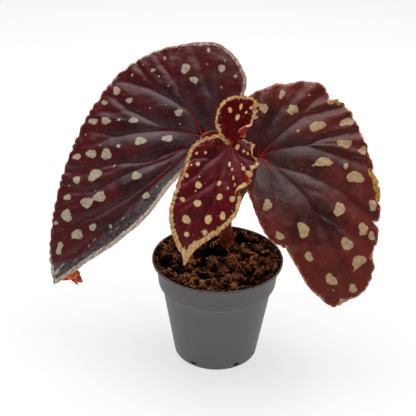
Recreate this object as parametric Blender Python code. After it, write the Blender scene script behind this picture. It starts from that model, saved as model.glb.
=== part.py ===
"""Begonia in a nursery pot: the pot, its soil, a cane with petioles, three leaves and a stipule.

The part is in metres with +Z up. The origin is the centre of the pot's resting face.
Sizes in the tables below are in millimetres and degrees, which MM and math.radians convert.
A leaf is drawn as rays that leave the end of its petiole. Angles are seen from its upper
face, counter-clockwise, with 0 to the viewer's right and 90 up the blade.
"""

import math
import random

import bmesh
import bpy
from mathutils import Vector, noise

MM = 0.001

# Pot
POT_HEIGHT = 100.0
RIM_RADIUS = 60.0
RIM_LIP_HEIGHT = 2.8
LIP_WIDTH = 3.8
BAND_TOP_RADIUS = 56.2
BAND_LOW_RADIUS = 54.3
BAND_LOW = 76.8
BODY_TOP_RADIUS = 51.0
BODY_TOP = 73.4
BASE_RADIUS = 39.4
FLOOR_THICK = 2.2
WALL = 1.5
POT_SIDES = 60
SLOT_TURNS = (30.0, 65.0, 115.0, 150.0)
SLOT_WIDTH = 5.6
SLOT_LOW = 3.4
SLOT_HIGH = 5.8

# Soil
SOIL_LEVEL = 96.0
SOIL_GAP = 0.3
SOIL_RINGS = 13
SOIL_SECTORS = 52
LUMP_HEIGHT = 1.6
LUMP_SIZE = 5.5
FIBRES = 16
CRUMBS = 12

# Cane and petioles
CANE_FOOT = (8.6, 32.0)
CANE_BOTTOM = 74.0
CANE_PLUG = 4.4
CANE_ROUTE = ((8.6, 32.0, 74.0), (8.6, 32.0, 97.5), (8.8, 31.0, 112.0), (9.2, 26.5, 138.0),
              (9.4, 20.0, 162.0), (9.0, 13.0, 182.0), (8.6, 6.0, 198.0))
CANE_RADII = (4.4, 4.4, 3.5, 3.3, 3.2, 3.0, 2.4)
CANE_SIDES = 10
COLLAR = (8, 6.6, 98.4, 111.0)
PETIOLE_RADIUS = 2.2
PETIOLE_SIDES = 8

# Leaf blades
BLADE_THICK = 1.0
SEAT_GAP = 0.3
COLUMNS_PER_VEIN = 4
BLADE_ROWS = 9

LEFT = {
    "seat": (-15.6, 25.0, 207.7), "facing": -12.0, "tilt": 33.0,
    "rise": ((40, 8), (90, 10), (140, 12), (300, 12)),
    "bend": ((40, -14), (140, -15), (225, -16), (300, -16)),
    "edge": ((-50, 14), (-30, 24), (0, 32), (30, 40), (50, 51), (57, 62), (66, 69), (72, 74),
             (81, 80), (92, 84), (106, 84), (123, 87), (139, 91), (156, 97), (168, 101),
             (180, 109), (189, 116), (199, 128), (209, 144), (217, 160), (223, 175),
             (227, 184), (231, 192), (232, 181), (235, 147), (238, 126), (240, 110),
             (242, 98), (244, 80), (246, 54), (249, 42), (256, 28), (270, 18), (290, 14)),
    "veins": ((-50, -50, -48), (-15, -12, -5), (15, 22, 32), (40, 58, 68), (62, 92, 105),
              (100, 124, 128), (125, 141, 142), (160, 171, 162), (185, 183, 182),
              (212, 208, 196), (226, 221, 208), (234, 229, 219), (239, 234, 231),
              (245, 239, 236), (258, 248, 245), (298, 294, 290)),
    "pleat": 2.6, "scallop": 0.007, "wave": 1.2, "frill": ((0, 1.0), (15, 1.0)),
    "crease": {"vein": 12, "slope": 0.85, "facing": 7.0, "tilt": 27.0},
}
RIGHT = {
    "seat": (33.8, -4.0, 202.5), "facing": 13.0, "tilt": 36.0,
    "rise": ((-150, 14), (-55, 14), (-20, 10), (100, 8), (150, 10), (210, 14)),
    "bend": ((-150, -16), (-110, -18), (-20, -18), (20, -16), (60, -12), (100, -10), (210, -16)),
    "edge": ((-138, 24), (-120, 34), (-110, 41), (-104, 50), (-96, 66), (-90, 76), (-83, 83),
             (-80, 98), (-78, 112), (-75, 127), (-70, 143), (-63, 145), (-58, 146), (-54, 143),
             (-50, 137), (-46, 128), (-40, 124), (-33, 118), (-24, 113), (-17, 108), (-9, 101),
             (0, 97), (12, 93), (27, 90), (32, 84), (44, 85), (52, 80), (62, 70), (70, 66),
             (82, 59), (96, 53), (115, 45), (140, 32), (165, 20), (200, 12)),
    "veins": ((-145, -142, -138), (-112, -108, -102), (-76, -78, -81), (-38, -55, -69),
              (-35, -49, -50), (-29, -29, -30), (15, 5, -8), (24, 14, 13), (50, 40, 29),
              (80, 63, 58), (105, 95, 88), (140, 132, 125), (175, 172, 168), (210, 206, 200)),
    "pleat": 3.0, "scallop": 0.007, "wave": 1.4, "frill": ((0, 1.0), (13, 1.0)),
    "crease": None,
}
YOUNG = {
    "seat": (8.3, -30.0, 225.8), "facing": -6.0, "tilt": 40.0,
    "rise": ((-190, 12), (-140, 10), (-60, 8), (-20, 12), (20, 10), (60, 4), (100, 2), (150, 6)),
    "bend": ((-190, -24), (-140, -30), (-110, -38), (-60, -38), (-20, -24), (20, 10), (60, 40),
             (110, 40), (150, 20)),
    "edge": ((-190, 14), (-187, 20), (-172, 26), (-162, 32), (-145, 48), (-136, 61), (-128, 76),
             (-120, 86), (-112, 99), (-107, 109), (-101, 94), (-94, 80), (-87, 69), (-79, 58),
             (-73, 44), (-66, 39), (-55, 35), (-48, 28), (-28, 27), (-12, 22), (4, 17), (28, 12),
             (50, 13), (56, 36), (60, 41), (67, 43), (79, 41), (93, 38), (107, 33), (121, 27),
             (136, 21), (146, 13)),
    "veins": ((-197, -194, -190), (-178, -174, -168), (-145, -155, -152), (-126, -141, -137),
              (-114, -114, -129), (-110, -110, -119), (-107, -108, -107), (-102, -102, -97),
              (-90, -94, -86), (-74, -68, -68), (-55, -44, -38), (-22, -12, -2), (12, 20, 28),
              (48, 50, 50), (74, 66, 57), (93, 86, 80), (112, 109, 106), (130, 129, 128),
              (146, 146, 146)),
    "pleat": 1.8, "scallop": 0.015, "wave": 0.7,
    "frill": ((0, 1.0), (5, 1.5), (7, 2.0), (9, 4.5), (12, 4.0), (14, 3.5), (16, 1.5), (18, 1.0)),
    "crease": None,
}

# Dried margin hanging under the left leaf's tip, as vein number and drop at each point
SCRAP = ((12.14, 3.0), (12.22, 8.0), (12.32, 11.0), (12.42, 10.5), (12.52, 11.5), (12.62, 5.0))
SCRAP_THICK = 0.7

# Stipule at the shoot's tip
STIPULE_ROOT = (8.0, 5.0, 199.0)
STIPULE_TIP = (-15.0, -16.0, 231.0)
STIPULE_WIDTH = 20.0
STIPULE_DEPTH = 5.0
STIPULE_THICK = 0.8


def clear_scene():
    for item in list(bpy.data.objects):
        bpy.data.objects.remove(item)


def material(name, colour, roughness):
    made = bpy.data.materials.new(name)
    made.use_nodes = True
    shader = made.node_tree.nodes["Principled BSDF"]
    shader.inputs["Base Color"].default_value = (*colour, 1.0)
    shader.inputs["Roughness"].default_value = roughness
    shader.inputs["Metallic"].default_value = 0.0
    made.diffuse_color = (*colour, 1.0)
    return made


def add_object(name, mesh, look=None, place=(0.0, 0.0, 0.0)):
    made = bpy.data.objects.new(name, mesh)
    made.location = place
    bpy.context.scene.collection.objects.link(made)
    if look:
        mesh.materials.append(look)
    return made


def mesh_from(name, points, faces):
    """Mesh of the given points, in metres, with every face turned outward."""
    mesh = bpy.data.meshes.new(name)
    mesh.from_pydata([tuple(p) for p in points], [], faces)
    shape = bmesh.new()
    shape.from_mesh(mesh)
    bmesh.ops.recalc_face_normals(shape, faces=shape.faces)
    shape.to_mesh(mesh)
    shape.free()
    return mesh


def smooth_by_angle(item, degrees=40.0):
    item.data.shade_smooth()
    item.data.set_sharp_from_angle(angle=math.radians(degrees))


def combine(item, others, operation):
    """Joins the other objects to this one, or cuts them from it, and removes them."""
    group = bpy.data.collections.new("tools of " + item.name)
    for other in others:
        group.objects.link(other)
    change = item.modifiers.new(operation.lower(), "BOOLEAN")
    change.operation = operation
    change.operand_type = "COLLECTION"
    change.collection = group
    change.solver = "EXACT"
    bpy.context.view_layer.update()
    seen = item.evaluated_get(bpy.context.evaluated_depsgraph_get())
    result = bpy.data.meshes.new_from_object(seen)
    item.modifiers.clear()
    item.data = result
    for other in others:
        bpy.data.objects.remove(other)
    bpy.data.collections.remove(group)


def between(table, x):
    """Value at x on a smooth curve through the table's points, with no overshoot."""
    last = len(table) - 1
    if x <= table[0][0]:
        return float(table[0][1])
    if x >= table[last][0]:
        return float(table[last][1])
    i = 0
    while table[i + 1][0] < x:
        i += 1
    width = table[i + 1][0] - table[i][0]
    t = (x - table[i][0]) / width
    start = knot_slope(table, i)
    end = knot_slope(table, i + 1)
    low, high = table[i][1], table[i + 1][1]
    hermite = (2 * t**3 - 3 * t**2 + 1) * low + (3 * t**2 - 2 * t**3) * high
    return hermite + width * ((t**3 - 2 * t**2 + t) * start + (t**3 - t**2) * end)


def knot_slope(table, i):
    if i == 0 or i == len(table) - 1:
        return 0.0
    before = (table[i][1] - table[i - 1][1]) / (table[i][0] - table[i - 1][0])
    after = (table[i + 1][1] - table[i][1]) / (table[i + 1][0] - table[i][0])
    if before * after <= 0:
        return 0.0
    return 2 * before * after / (before + after)


def aim(facing, tilt):
    """Unit vector turned from -Y toward +X by the first angle and raised by the second."""
    turn, lift = math.radians(facing), math.radians(tilt)
    return Vector((math.sin(turn) * math.cos(lift), -math.cos(turn) * math.cos(lift),
                   math.sin(lift)))


class Blade:
    """A leaf blade as a sheet, placed by vein number u and by s, 0 at the petiole, 1 at the edge."""

    def __init__(self, plan):
        self.plan = plan
        self.normal = aim(plan["facing"], plan["tilt"])
        self.across = Vector((0, 0, 1)).cross(self.normal).normalized()
        self.up = self.normal.cross(self.across)
        self.seat = Vector(plan["seat"])
        self.last_vein = len(plan["veins"]) - 1

    def vein_angles(self, u):
        """Angle of the line u near the petiole, halfway out and at the edge."""
        veins = self.plan["veins"]
        return [between([(i, vein[k]) for i, vein in enumerate(veins)], u) for k in range(3)]

    def angle_and_reach(self, u, s):
        root, middle, end = self.vein_angles(u)
        angle = root * (1 - s) * (1 - 2 * s) + middle * 4 * s * (1 - s) + end * s * (2 * s - 1)
        scallop = 1 + self.plan["scallop"] * s**2 * math.cos(4 * math.pi * u)
        return angle, between(self.plan["edge"], end) * s * scallop

    def ray_point(self, angle, reach):
        """End of a ray that leaves the petiole at this angle and bends evenly on its way."""
        slope = math.radians(between(self.plan["rise"], angle))
        turning = math.radians(between(self.plan["bend"], angle)) / 100
        if abs(turning) < 1e-5:
            turning = 1e-5
        out = (math.sin(slope + turning * reach) - math.sin(slope)) / turning
        lift = (math.cos(slope) - math.cos(slope + turning * reach)) / turning
        course = math.radians(angle)
        return (out * math.cos(course)) * self.across + (out * math.sin(course)) * self.up + \
            lift * self.normal

    def relief(self, u, s):
        """Height over the smooth sheet: sunk veins and waved edge."""
        off_vein = abs(u - round(u))
        height = self.plan["pleat"] * (1 - math.exp(-off_vein / 0.22)) * min(1.0, 2.5 * s)
        edge_wave = self.plan["wave"] * between(self.plan["frill"], u) * s**4
        return height + edge_wave * math.sin(4.0 * math.pi * u + 0.7)

    def fold(self, u, s, angle, reach):
        """Lift of the strip beyond the midrib of a blade that is folded there."""
        crease = self.plan["crease"]
        if not crease or u <= crease["vein"]:
            return Vector((0, 0, 0))
        midrib_angle = self.angle_and_reach(crease["vein"], s)[0]
        off_midrib = reach * math.radians(angle - midrib_angle)
        lift = crease["slope"] * (math.hypot(off_midrib, 3.0) - 3.0)
        return lift * aim(crease["facing"], crease["tilt"])

    def point(self, u, s):
        """Point of the upper face, from the seat, in millimetres."""
        angle, reach = self.angle_and_reach(u, s)
        sheet = self.ray_point(angle, reach) + self.fold(u, s, angle, reach)
        return sheet + self.relief(u, s) * self.normal


def blade_mesh(name, blade):
    """Closed thin mesh, split into triangles alike on both faces."""
    columns = blade.last_vein * COLUMNS_PER_VEIN
    upper = [Vector((0, 0, 0))]
    for i in range(columns + 1):
        for j in range(1, BLADE_ROWS + 1):
            upper.append(blade.point(i / COLUMNS_PER_VEIN, j / BLADE_ROWS))
    lower = [p - BLADE_THICK * blade.normal for p in upper]
    under = len(upper)

    def at(i, j):
        return 0 if j == 0 else 1 + i * BLADE_ROWS + j - 1

    faces = []
    for i in range(columns):
        for j in range(BLADE_ROWS):
            corners = [at(i, j), at(i, j + 1), at(i + 1, j + 1), at(i + 1, j)]
            halves = [corners[:3]] if j == 0 else [corners[:3], [corners[0], *corners[2:]]]
            for half in halves:
                faces.append(half)
                faces.append([k + under for k in reversed(half)])
    ring = [at(0, j) for j in range(BLADE_ROWS + 1)]
    ring += [at(i, BLADE_ROWS) for i in range(1, columns + 1)]
    ring += [at(columns, j) for j in range(BLADE_ROWS - 1, 0, -1)]
    for a, b in zip(ring, ring[1:] + ring[:1]):
        faces.append([a, b, b + under])
        faces.append([a, b + under, a + under])
    return mesh_from(name, [MM * p for p in upper + lower], faces)


def make_leaf(name, plan, look):
    blade = Blade(plan)
    leaf = add_object(name, blade_mesh(name, blade), look, MM * blade.seat)
    if plan is LEFT:
        combine(leaf, [make_scrap(blade)], "UNION")
    smooth_by_angle(leaf, 60.0)
    return leaf


def make_scrap(blade):
    """Curled scrap of dried margin whose root is sunk in the blade's edge."""
    inner, outer = [], []
    for u, drop in SCRAP:
        root = blade.point(u, 0.98) - 0.15 * blade.normal
        inward = blade.point(u, 0.9) - blade.point(u, 0.98)
        aside = inward.cross(blade.normal).normalized()
        down = Vector((0.5, -0.1, -1.0)).normalized()
        inner.append(root)
        outer.append(root + drop * (down + 0.25 * aside) - 0.15 * drop * blade.normal)
    upper = inner + outer
    lower = [p - SCRAP_THICK * blade.normal for p in upper]
    count, under = len(inner), len(upper)
    faces = []
    for k in range(count - 1):
        for half in ([k, k + 1, k + 1 + count], [k, k + 1 + count, k + count]):
            faces.append(half)
            faces.append([n + under for n in reversed(half)])
    ring = list(range(count)) + [count + k for k in range(count - 1, -1, -1)]
    for a, b in zip(ring, ring[1:] + ring[:1]):
        faces.append([a, b, b + under])
        faces.append([a, b + under, a + under])
    mesh = mesh_from("scrap", [MM * p for p in upper + lower], faces)
    return add_object("scrap", mesh, place=MM * blade.seat)


def tube(name, route, radii, sides):
    """Closed tube round a smooth curve through the route's points, in millimetres."""
    steps = 3
    knots = range(len(route))
    curves = [[(k, route[k][axis]) for k in knots] for axis in range(3)]
    sizes = [(k, radii[k]) for k in knots]
    marks = [k / steps for k in range((len(route) - 1) * steps + 1)]
    centres = [Vector([catmull(curve, t) for curve in curves]) for t in marks]
    side = Vector((1, 0, 0))
    points = []
    for k, centre in enumerate(centres):
        ahead = centres[min(k + 1, len(centres) - 1)] - centres[max(k - 1, 0)]
        ahead.normalize()
        side = (side - side.dot(ahead) * ahead).normalized()
        other = ahead.cross(side)
        radius = between(sizes, marks[k])
        for n in range(sides):
            turn = 2 * math.pi * n / sides
            points.append(centre + radius * (math.cos(turn) * side + math.sin(turn) * other))
    faces = []
    for k in range(len(centres) - 1):
        for n in range(sides):
            m = (n + 1) % sides
            low, high = k * sides, (k + 1) * sides
            faces.append([low + n, low + m, high + m, high + n])
    faces.append(list(range(sides)))
    faces.append([(len(centres) - 1) * sides + n for n in range(sides)])
    return mesh_from(name, [MM * p for p in points], faces)


def catmull(table, t):
    """Value at t on a smooth curve through the values at 0, 1, 2 and so on."""
    last = len(table) - 1
    k = min(int(t), last - 1)
    f = t - k
    a, b, c, d = (table[min(max(k + n, 0), last)][1] for n in (-1, 0, 1, 2))
    if k == 0:
        a = 2 * b - c
    if k + 1 == last:
        d = 2 * c - b
    return 0.5 * (2 * b + (c - a) * f + (2 * a - 5 * b + 4 * c - d) * f**2
                  + (3 * b - a - 3 * c + d) * f**3)


def pot_profile():
    """Points (radius, height) of the pot's wall, up the outside and down the inside."""
    lip_low = POT_HEIGHT - RIM_LIP_HEIGHT
    bore = RIM_RADIUS - LIP_WIDTH
    return [
        (BASE_RADIUS - 2.2, 0.0), (BASE_RADIUS - 0.8, 0.6), (BASE_RADIUS, 2.0),
        (BODY_TOP_RADIUS, BODY_TOP), (BAND_LOW_RADIUS - 1.4, BODY_TOP + 1.4),
        (BAND_LOW_RADIUS, BAND_LOW), (BAND_TOP_RADIUS, lip_low - 0.8),
        (RIM_RADIUS - 0.8, lip_low), (RIM_RADIUS, lip_low + 0.8), (RIM_RADIUS, POT_HEIGHT - 0.7),
        (RIM_RADIUS - 0.7, POT_HEIGHT), (bore + 0.5, POT_HEIGHT), (bore, POT_HEIGHT - 0.6),
        (BAND_TOP_RADIUS - WALL, lip_low - 2.0), (BAND_LOW_RADIUS - WALL, BAND_LOW),
        (BODY_TOP_RADIUS - WALL, BODY_TOP - 1.5), (BASE_RADIUS - WALL + 0.1, FLOOR_THICK + 1.0),
        (BASE_RADIUS - WALL - 0.8, FLOOR_THICK),
    ]


def turned_mesh(name, profile):
    """Solid of revolution round Z, closed at the axis at both ends of its profile."""
    points = []
    for k in range(POT_SIDES):
        turn = 2 * math.pi * (k + 0.5) / POT_SIDES
        points += [(r * math.cos(turn), r * math.sin(turn), z) for r, z in profile]
    rows = len(profile)
    faces = []
    for k in range(POT_SIDES):
        here, there = k * rows, ((k + 1) % POT_SIDES) * rows
        for j in range(rows - 1):
            faces.append([here + j, there + j, there + j + 1, here + j + 1])
    faces.append([k * rows for k in range(POT_SIDES)])
    faces.append([k * rows + rows - 1 for k in range(POT_SIDES)])
    return mesh_from(name, [MM * Vector(p) for p in points], faces)


def slot_cutter(turn):
    """Box through the pot's wall just over its floor."""
    shape = bmesh.new()
    bmesh.ops.create_cube(shape, size=1.0)
    size = Vector((12.0, SLOT_WIDTH, SLOT_HIGH - SLOT_LOW))
    bmesh.ops.scale(shape, vec=MM * size, verts=shape.verts)
    mesh = bpy.data.meshes.new("slot cutter")
    shape.to_mesh(mesh)
    shape.free()
    angle = math.radians(turn)
    middle = Vector((math.cos(angle), math.sin(angle), 0)) * BASE_RADIUS
    middle.z = (SLOT_LOW + SLOT_HIGH) / 2
    cutter = add_object("slot cutter", mesh, place=MM * middle)
    cutter.rotation_euler.z = angle
    cutter.hide_render = True
    cutter.display_type = "WIRE"
    return cutter


def make_pot():
    look = material("grey pot plastic", (0.105, 0.105, 0.11), 0.55)
    pot = add_object("pot", turned_mesh("pot", pot_profile()), look)
    turns = [side * turn - 90 for turn in SLOT_TURNS for side in (-1, 1)]
    combine(pot, [slot_cutter(turn) for turn in turns], "DIFFERENCE")
    smooth_by_angle(pot, 30.0)
    return pot


def soil_height(x, y):
    """Height of the soil's lumpy top, flat where the cane stands."""
    spot = Vector((x, y, 0)) / LUMP_SIZE
    lumps = noise.noise(spot) + 0.6 * noise.noise(2.3 * spot + Vector((7, 3, 1)))
    slope = 0.012 * (x + y)
    from_cane = math.hypot(x - CANE_FOOT[0], y - CANE_FOOT[1])
    calm = min(1.0, max(0.0, (from_cane - 7.0) / 6.0))
    from_wall = BAND_TOP_RADIUS - math.hypot(x, y)
    sink = 1.6 * math.exp(-from_wall / 4.0)
    return SOIL_LEVEL + calm * (LUMP_HEIGHT * lumps + slope) - sink


def make_soil():
    """Root ball and soil: follows the pot's inside with a small gap, lumpy on top."""
    inner = [(r - SOIL_GAP, z + SOIL_GAP) for r, z in reversed(pot_profile()[14:])]
    top_radius = BAND_TOP_RADIUS - WALL - SOIL_GAP - 0.5
    rings = [top_radius * (k / SOIL_RINGS) ** 0.85 for k in range(1, SOIL_RINGS + 1)]
    points = []
    for k in range(SOIL_SECTORS):
        turn = 2 * math.pi * k / SOIL_SECTORS
        c, s = math.cos(turn), math.sin(turn)
        points += [(r * c, r * s, z) for r, z in inner]
        points += [(r * c, r * s, soil_height(r * c, r * s)) for r in reversed(rings)]
    rows = len(inner) + len(rings)
    faces = []
    for k in range(SOIL_SECTORS):
        here, there = k * rows, ((k + 1) % SOIL_SECTORS) * rows
        for j in range(rows - 1):
            faces.append([here + j, there + j, there + j + 1])
            faces.append([here + j, there + j + 1, here + j + 1])
    middle = len(points)
    points.append((0, 0, soil_height(0, 0)))
    for k in range(SOIL_SECTORS):
        there = ((k + 1) % SOIL_SECTORS) * rows
        faces.append([k * rows + rows - 1, there + rows - 1, middle])
    faces.append([k * rows for k in range(SOIL_SECTORS)])
    look = material("peat and coir soil", (0.045, 0.022, 0.012), 0.95)
    soil = add_object("soil", mesh_from("soil", [MM * Vector(p) for p in points], faces), look)
    combine(soil, soil_fibres() + soil_crumbs(), "UNION")
    combine(soil, [cane_hole()], "DIFFERENCE")
    return soil


def soil_spots(count, seed, reach):
    """Even scatter over the soil's top, clear of the cane."""
    draw = random.Random(seed)
    golden = math.pi * (3 - math.sqrt(5))
    spots = []
    for k in range(count):
        radius = reach * math.sqrt((k + 0.7) / count)
        turn = golden * k + draw.uniform(-0.3, 0.3) + seed
        x, y = radius * math.cos(turn), radius * math.sin(turn)
        if math.hypot(x - CANE_FOOT[0], y - CANE_FOOT[1]) > 16.0:
            spots.append((x, y, draw))
    return spots


def soil_fibres():
    """Bent coir fibres with both ends sunk in the soil."""
    made = []
    for x, y, draw in soil_spots(FIBRES, 3, 44.0):
        turn = draw.uniform(0, math.pi)
        half = draw.uniform(5.0, 8.0)
        bow = draw.uniform(-3.0, 3.0)
        course = Vector((math.cos(turn), math.sin(turn), 0))
        aside = Vector((-course.y, course.x, 0))
        route = []
        for along, over in ((-1.0, -1.6), (-0.3, 1.0), (0.4, 1.2), (1.0, -1.6)):
            p = Vector((x, y, 0)) + along * half * course + (1 - along**2) * bow * aside
            p.z = soil_height(p.x, p.y) + over
            route.append(p)
        made.append(add_object("fibre", tube("fibre", route, (0.7, 0.8, 0.8, 0.6), 5)))
    return made


def soil_crumbs():
    """Crumbs of bark and peat, half sunk in the soil."""
    made = []
    for x, y, draw in soil_spots(CRUMBS, 8, 48.0):
        shape = bmesh.new()
        bmesh.ops.create_icosphere(shape, subdivisions=1, radius=MM * draw.uniform(1.8, 3.0))
        for vert in shape.verts:
            vert.co *= draw.uniform(0.8, 1.15)
            vert.co.z *= 0.7
        mesh = bpy.data.meshes.new("crumb")
        shape.to_mesh(mesh)
        shape.free()
        place = MM * Vector((x, y, soil_height(x, y) + 0.2))
        made.append(add_object("crumb", mesh, place=place))
    return made


def cane_hole():
    route = [(*CANE_FOOT, CANE_BOTTOM - SOIL_GAP), (*CANE_FOOT, SOIL_LEVEL + 6.0)]
    radius = CANE_PLUG + SOIL_GAP
    hole = add_object("cane hole", tube("cane hole", route, (radius, radius), 16))
    hole.hide_render = True
    hole.display_type = "WIRE"
    return hole


def petiole_route(plan, start, lean):
    """Route from inside the cane to just under a blade, arriving square to it."""
    blade = Blade(plan)
    end = blade.seat - (BLADE_THICK + SEAT_GAP) * blade.normal
    before = end - 14.0 * blade.normal
    start = Vector(start)
    middle = 0.5 * (start + before) + Vector(lean)
    return [start, middle, before, end - 5.0 * blade.normal, end]


def make_stem():
    look = material("cane and petioles", (0.16, 0.022, 0.018), 0.5)
    base = Vector((*CANE_FOOT, SOIL_LEVEL))
    cane = tube("stem", [Vector(p) for p in CANE_ROUTE], CANE_RADII, CANE_SIDES)
    stem = add_object("stem", cane, look)
    radii = [PETIOLE_RADIUS * f for f in (1.3, 1.05, 0.95, 0.95, 0.85)]
    routes = (
        petiole_route(LEFT, (9.3, 21.5, 158.0), (-2.0, -3.0, -6.0)),
        petiole_route(RIGHT, (9.3, 24.5, 146.0), (4.0, 0.0, -8.0)),
        petiole_route(YOUNG, (8.8, 9.5, 190.0), (0.0, -2.0, -4.0)),
    )
    parts = [add_object("petiole", tube("petiole", route, radii, PETIOLE_SIDES))
             for route in routes]
    parts.append(make_collar())
    combine(stem, parts, "UNION")
    stem.data.transform(stem.matrix_world.Translation(-MM * base))
    stem.location = MM * base
    smooth_by_angle(stem, 50.0)
    return stem


def make_collar():
    """Dried sheath round the cane's foot, with a ragged upper edge."""
    count, spread, low, high = COLLAR
    draw = random.Random(5)
    points = []
    for ring, (radius, height) in enumerate(((spread - 1.2, low), (spread, low + 2.5),
                                             (spread - 1.8, low + 8.0), (2.0, high))):
        for k in range(2 * count):
            turn = math.pi * k / count
            ragged = draw.uniform(-0.5, 0.5) + (0.5 if k % 2 else -0.5)
            rise = draw.uniform(-1.0, 1.5) if ring >= 2 else 0.0
            r = radius + (ragged if ring < 3 else 0.0)
            lean = Vector((0.1, -1.2, 0)) * max(0.0, (height - 98.0) / 14.0)
            points.append(Vector((CANE_FOOT[0] + r * math.cos(turn),
                                  CANE_FOOT[1] + r * math.sin(turn), height + rise)) + lean)
    around = 2 * count
    faces = []
    for ring in range(3):
        for k in range(around):
            m = (k + 1) % around
            low_k, low_m = ring * around + k, ring * around + m
            faces.append([low_k, low_m, low_m + around])
            faces.append([low_k, low_m + around, low_k + around])
    faces.append(list(range(around)))
    faces.append([3 * around + k for k in range(around)])
    return add_object("collar", mesh_from("collar", [MM * p for p in points], faces))


def make_stipule():
    """Boat-shaped sheet that sheathed the bud, hollow toward the shoot."""
    look = material("red stipule", (0.30, 0.012, 0.018), 0.45)
    root, tip = Vector(STIPULE_ROOT), Vector(STIPULE_TIP)
    along = (tip - root).normalized()
    length = (tip - root).length
    outward = Vector((-0.35, 0.85, 0.3))
    outward = (outward - outward.dot(along) * along).normalized()
    across = along.cross(outward)
    rows, columns = 9, 8
    upper = []
    for j in range(rows + 1):
        t = j / rows
        half = 0.5 * STIPULE_WIDTH * between(((0, 0.28), (0.35, 0.8), (0.7, 1.0), (0.9, 0.72),
                                              (1.0, 0.3)), t)
        for i in range(columns + 1):
            w = 2 * i / columns - 1
            hollow = STIPULE_DEPTH * (1 - w * w) * (half / (0.5 * STIPULE_WIDTH))
            arch = 3.0 * math.sin(math.pi * t)
            dome = 2.0 * (1 - w * w) * t**6
            upper.append(root + (t * length + dome) * along + w * half * across
                         + (hollow + arch) * outward)
    lower = [p - STIPULE_THICK * outward for p in upper]
    under = len(upper)
    wide = columns + 1
    faces = []
    for j in range(rows):
        for i in range(columns):
            a = j * wide + i
            for half_face in ([a, a + 1, a + wide + 1], [a, a + wide + 1, a + wide]):
                faces.append(half_face)
                faces.append([k + under for k in reversed(half_face)])
    ring = [i for i in range(wide)] + [j * wide + columns for j in range(1, rows + 1)]
    ring += [rows * wide + i for i in range(columns - 1, -1, -1)]
    ring += [j * wide for j in range(rows - 1, 0, -1)]
    for a, b in zip(ring, ring[1:] + ring[:1]):
        faces.append([a, b, b + under])
        faces.append([a, b + under, a + under])
    points = [MM * (p - root) for p in upper + lower]
    stipule = add_object("stipule", mesh_from("stipule", points, faces), look, MM * root)
    smooth_by_angle(stipule, 60.0)
    return stipule


def main():
    clear_scene()
    make_pot()
    make_soil()
    make_stem()
    make_leaf("leaf_left", LEFT, material("dark maroon leaf", (0.045, 0.012, 0.016), 0.4))
    make_leaf("leaf_right", RIGHT, material("brown maroon leaf", (0.075, 0.018, 0.018), 0.4))
    make_leaf("leaf_young", YOUNG, material("wine red leaf", (0.11, 0.010, 0.020), 0.4))
    make_stipule()


main()
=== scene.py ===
import math
import random

import bpy
import numpy as np
from mathutils import Matrix, Vector, noise
from mathutils.bvhtree import BVHTree
from mathutils.geometry import barycentric_transform


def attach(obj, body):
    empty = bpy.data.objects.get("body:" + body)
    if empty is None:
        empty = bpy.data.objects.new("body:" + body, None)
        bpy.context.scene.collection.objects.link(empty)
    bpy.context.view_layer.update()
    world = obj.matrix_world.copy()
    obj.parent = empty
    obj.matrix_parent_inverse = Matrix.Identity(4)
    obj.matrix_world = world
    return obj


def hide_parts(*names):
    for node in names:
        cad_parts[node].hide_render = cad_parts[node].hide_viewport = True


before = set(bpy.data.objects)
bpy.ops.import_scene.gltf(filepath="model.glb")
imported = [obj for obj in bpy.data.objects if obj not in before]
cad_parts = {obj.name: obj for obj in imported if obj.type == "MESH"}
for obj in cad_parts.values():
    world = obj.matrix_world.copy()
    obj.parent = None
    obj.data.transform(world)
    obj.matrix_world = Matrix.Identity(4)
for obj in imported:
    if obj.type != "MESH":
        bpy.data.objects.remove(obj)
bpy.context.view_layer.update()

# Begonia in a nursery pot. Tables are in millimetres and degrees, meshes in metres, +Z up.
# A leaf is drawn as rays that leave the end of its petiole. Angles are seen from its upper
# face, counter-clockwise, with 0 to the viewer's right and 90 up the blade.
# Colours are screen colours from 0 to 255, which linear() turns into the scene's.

MM = 0.001
BODY = "root"

# Light, in metres and watts: the room as it lights and as the camera sees it, the lamp, and the
# floor's grey and its glow beside the pot, in front of it and behind it; the glow is painted light,
# lowest beside the pot as a painted shadow
ROOM_LIGHT, ROOM_WHITE = 0.06, 0.95
LAMP_PLACE, LAMP_TARGET = (0.04, 0.26, 1.45), (0.0, 0.0, 0.15)
LAMP_SIZE = 1.8
LAMP_WATTS = 27.0
FLOOR_SIZE = 8.0
FLOOR_GREY = 0.38
FLOOR_GLOW = 0.69
GLOW_BESIDE, GLOW_BEFORE, GLOW_BEHIND = 0.985, 1.05, 1.03

# Camera fitted to the photograph: its place in metres and its own directions
CAMERA_PLACE = (0.0, -0.7082, 0.52435)
CAMERA_RIGHT = Vector((0.99961, 0.02234, 0.01651))
CAMERA_UP = Vector((-0.02503, 0.46693, 0.88394))
CAMERA_AHEAD = Vector((-0.01204, 0.88401, -0.46731))
CAMERA_LENS = 77.885

# Pot: points (radius, height) of its wall, up the outside and down the inside
POT_PROFILE = (
    (37, 0), (38.1, 0.25), (38.9, 0.9), (39.3, 1.8), (39.5, 3), (42, 18.4), (45, 36.8),
    (48, 55.2), (50.7, 71.6), (51, 73), (51.3, 73.5), (52.2, 74), (53, 74.5), (53.9, 75.4),
    (54.25, 76.4), (54.4, 78), (55.2, 86), (56, 95), (56.2, 96), (56.5, 96.5), (57.2, 96.85),
    (58.6, 97), (59.4, 97.2), (59.9, 97.7), (60, 98.4), (59.95, 99.2), (59.75, 99.8), (59.3, 100),
    (58.9, 99.95), (58.6, 99.7), (58.5, 99.2), (58.4, 98.3), (58, 97.95), (56.2, 97.9),
    (55.3, 97.6), (54.9, 97), (54.7, 95), (52.8, 76.8), (52.2, 75.6), (49.8, 73.6), (49.4, 71.9),
    (46, 52), (42, 27), (38.2, 4), (37.6, 2.8), (36.6, 2.2), (20, 2.2))
POT_SIDES = 160
BASE_RADIUS = 39.4
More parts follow.
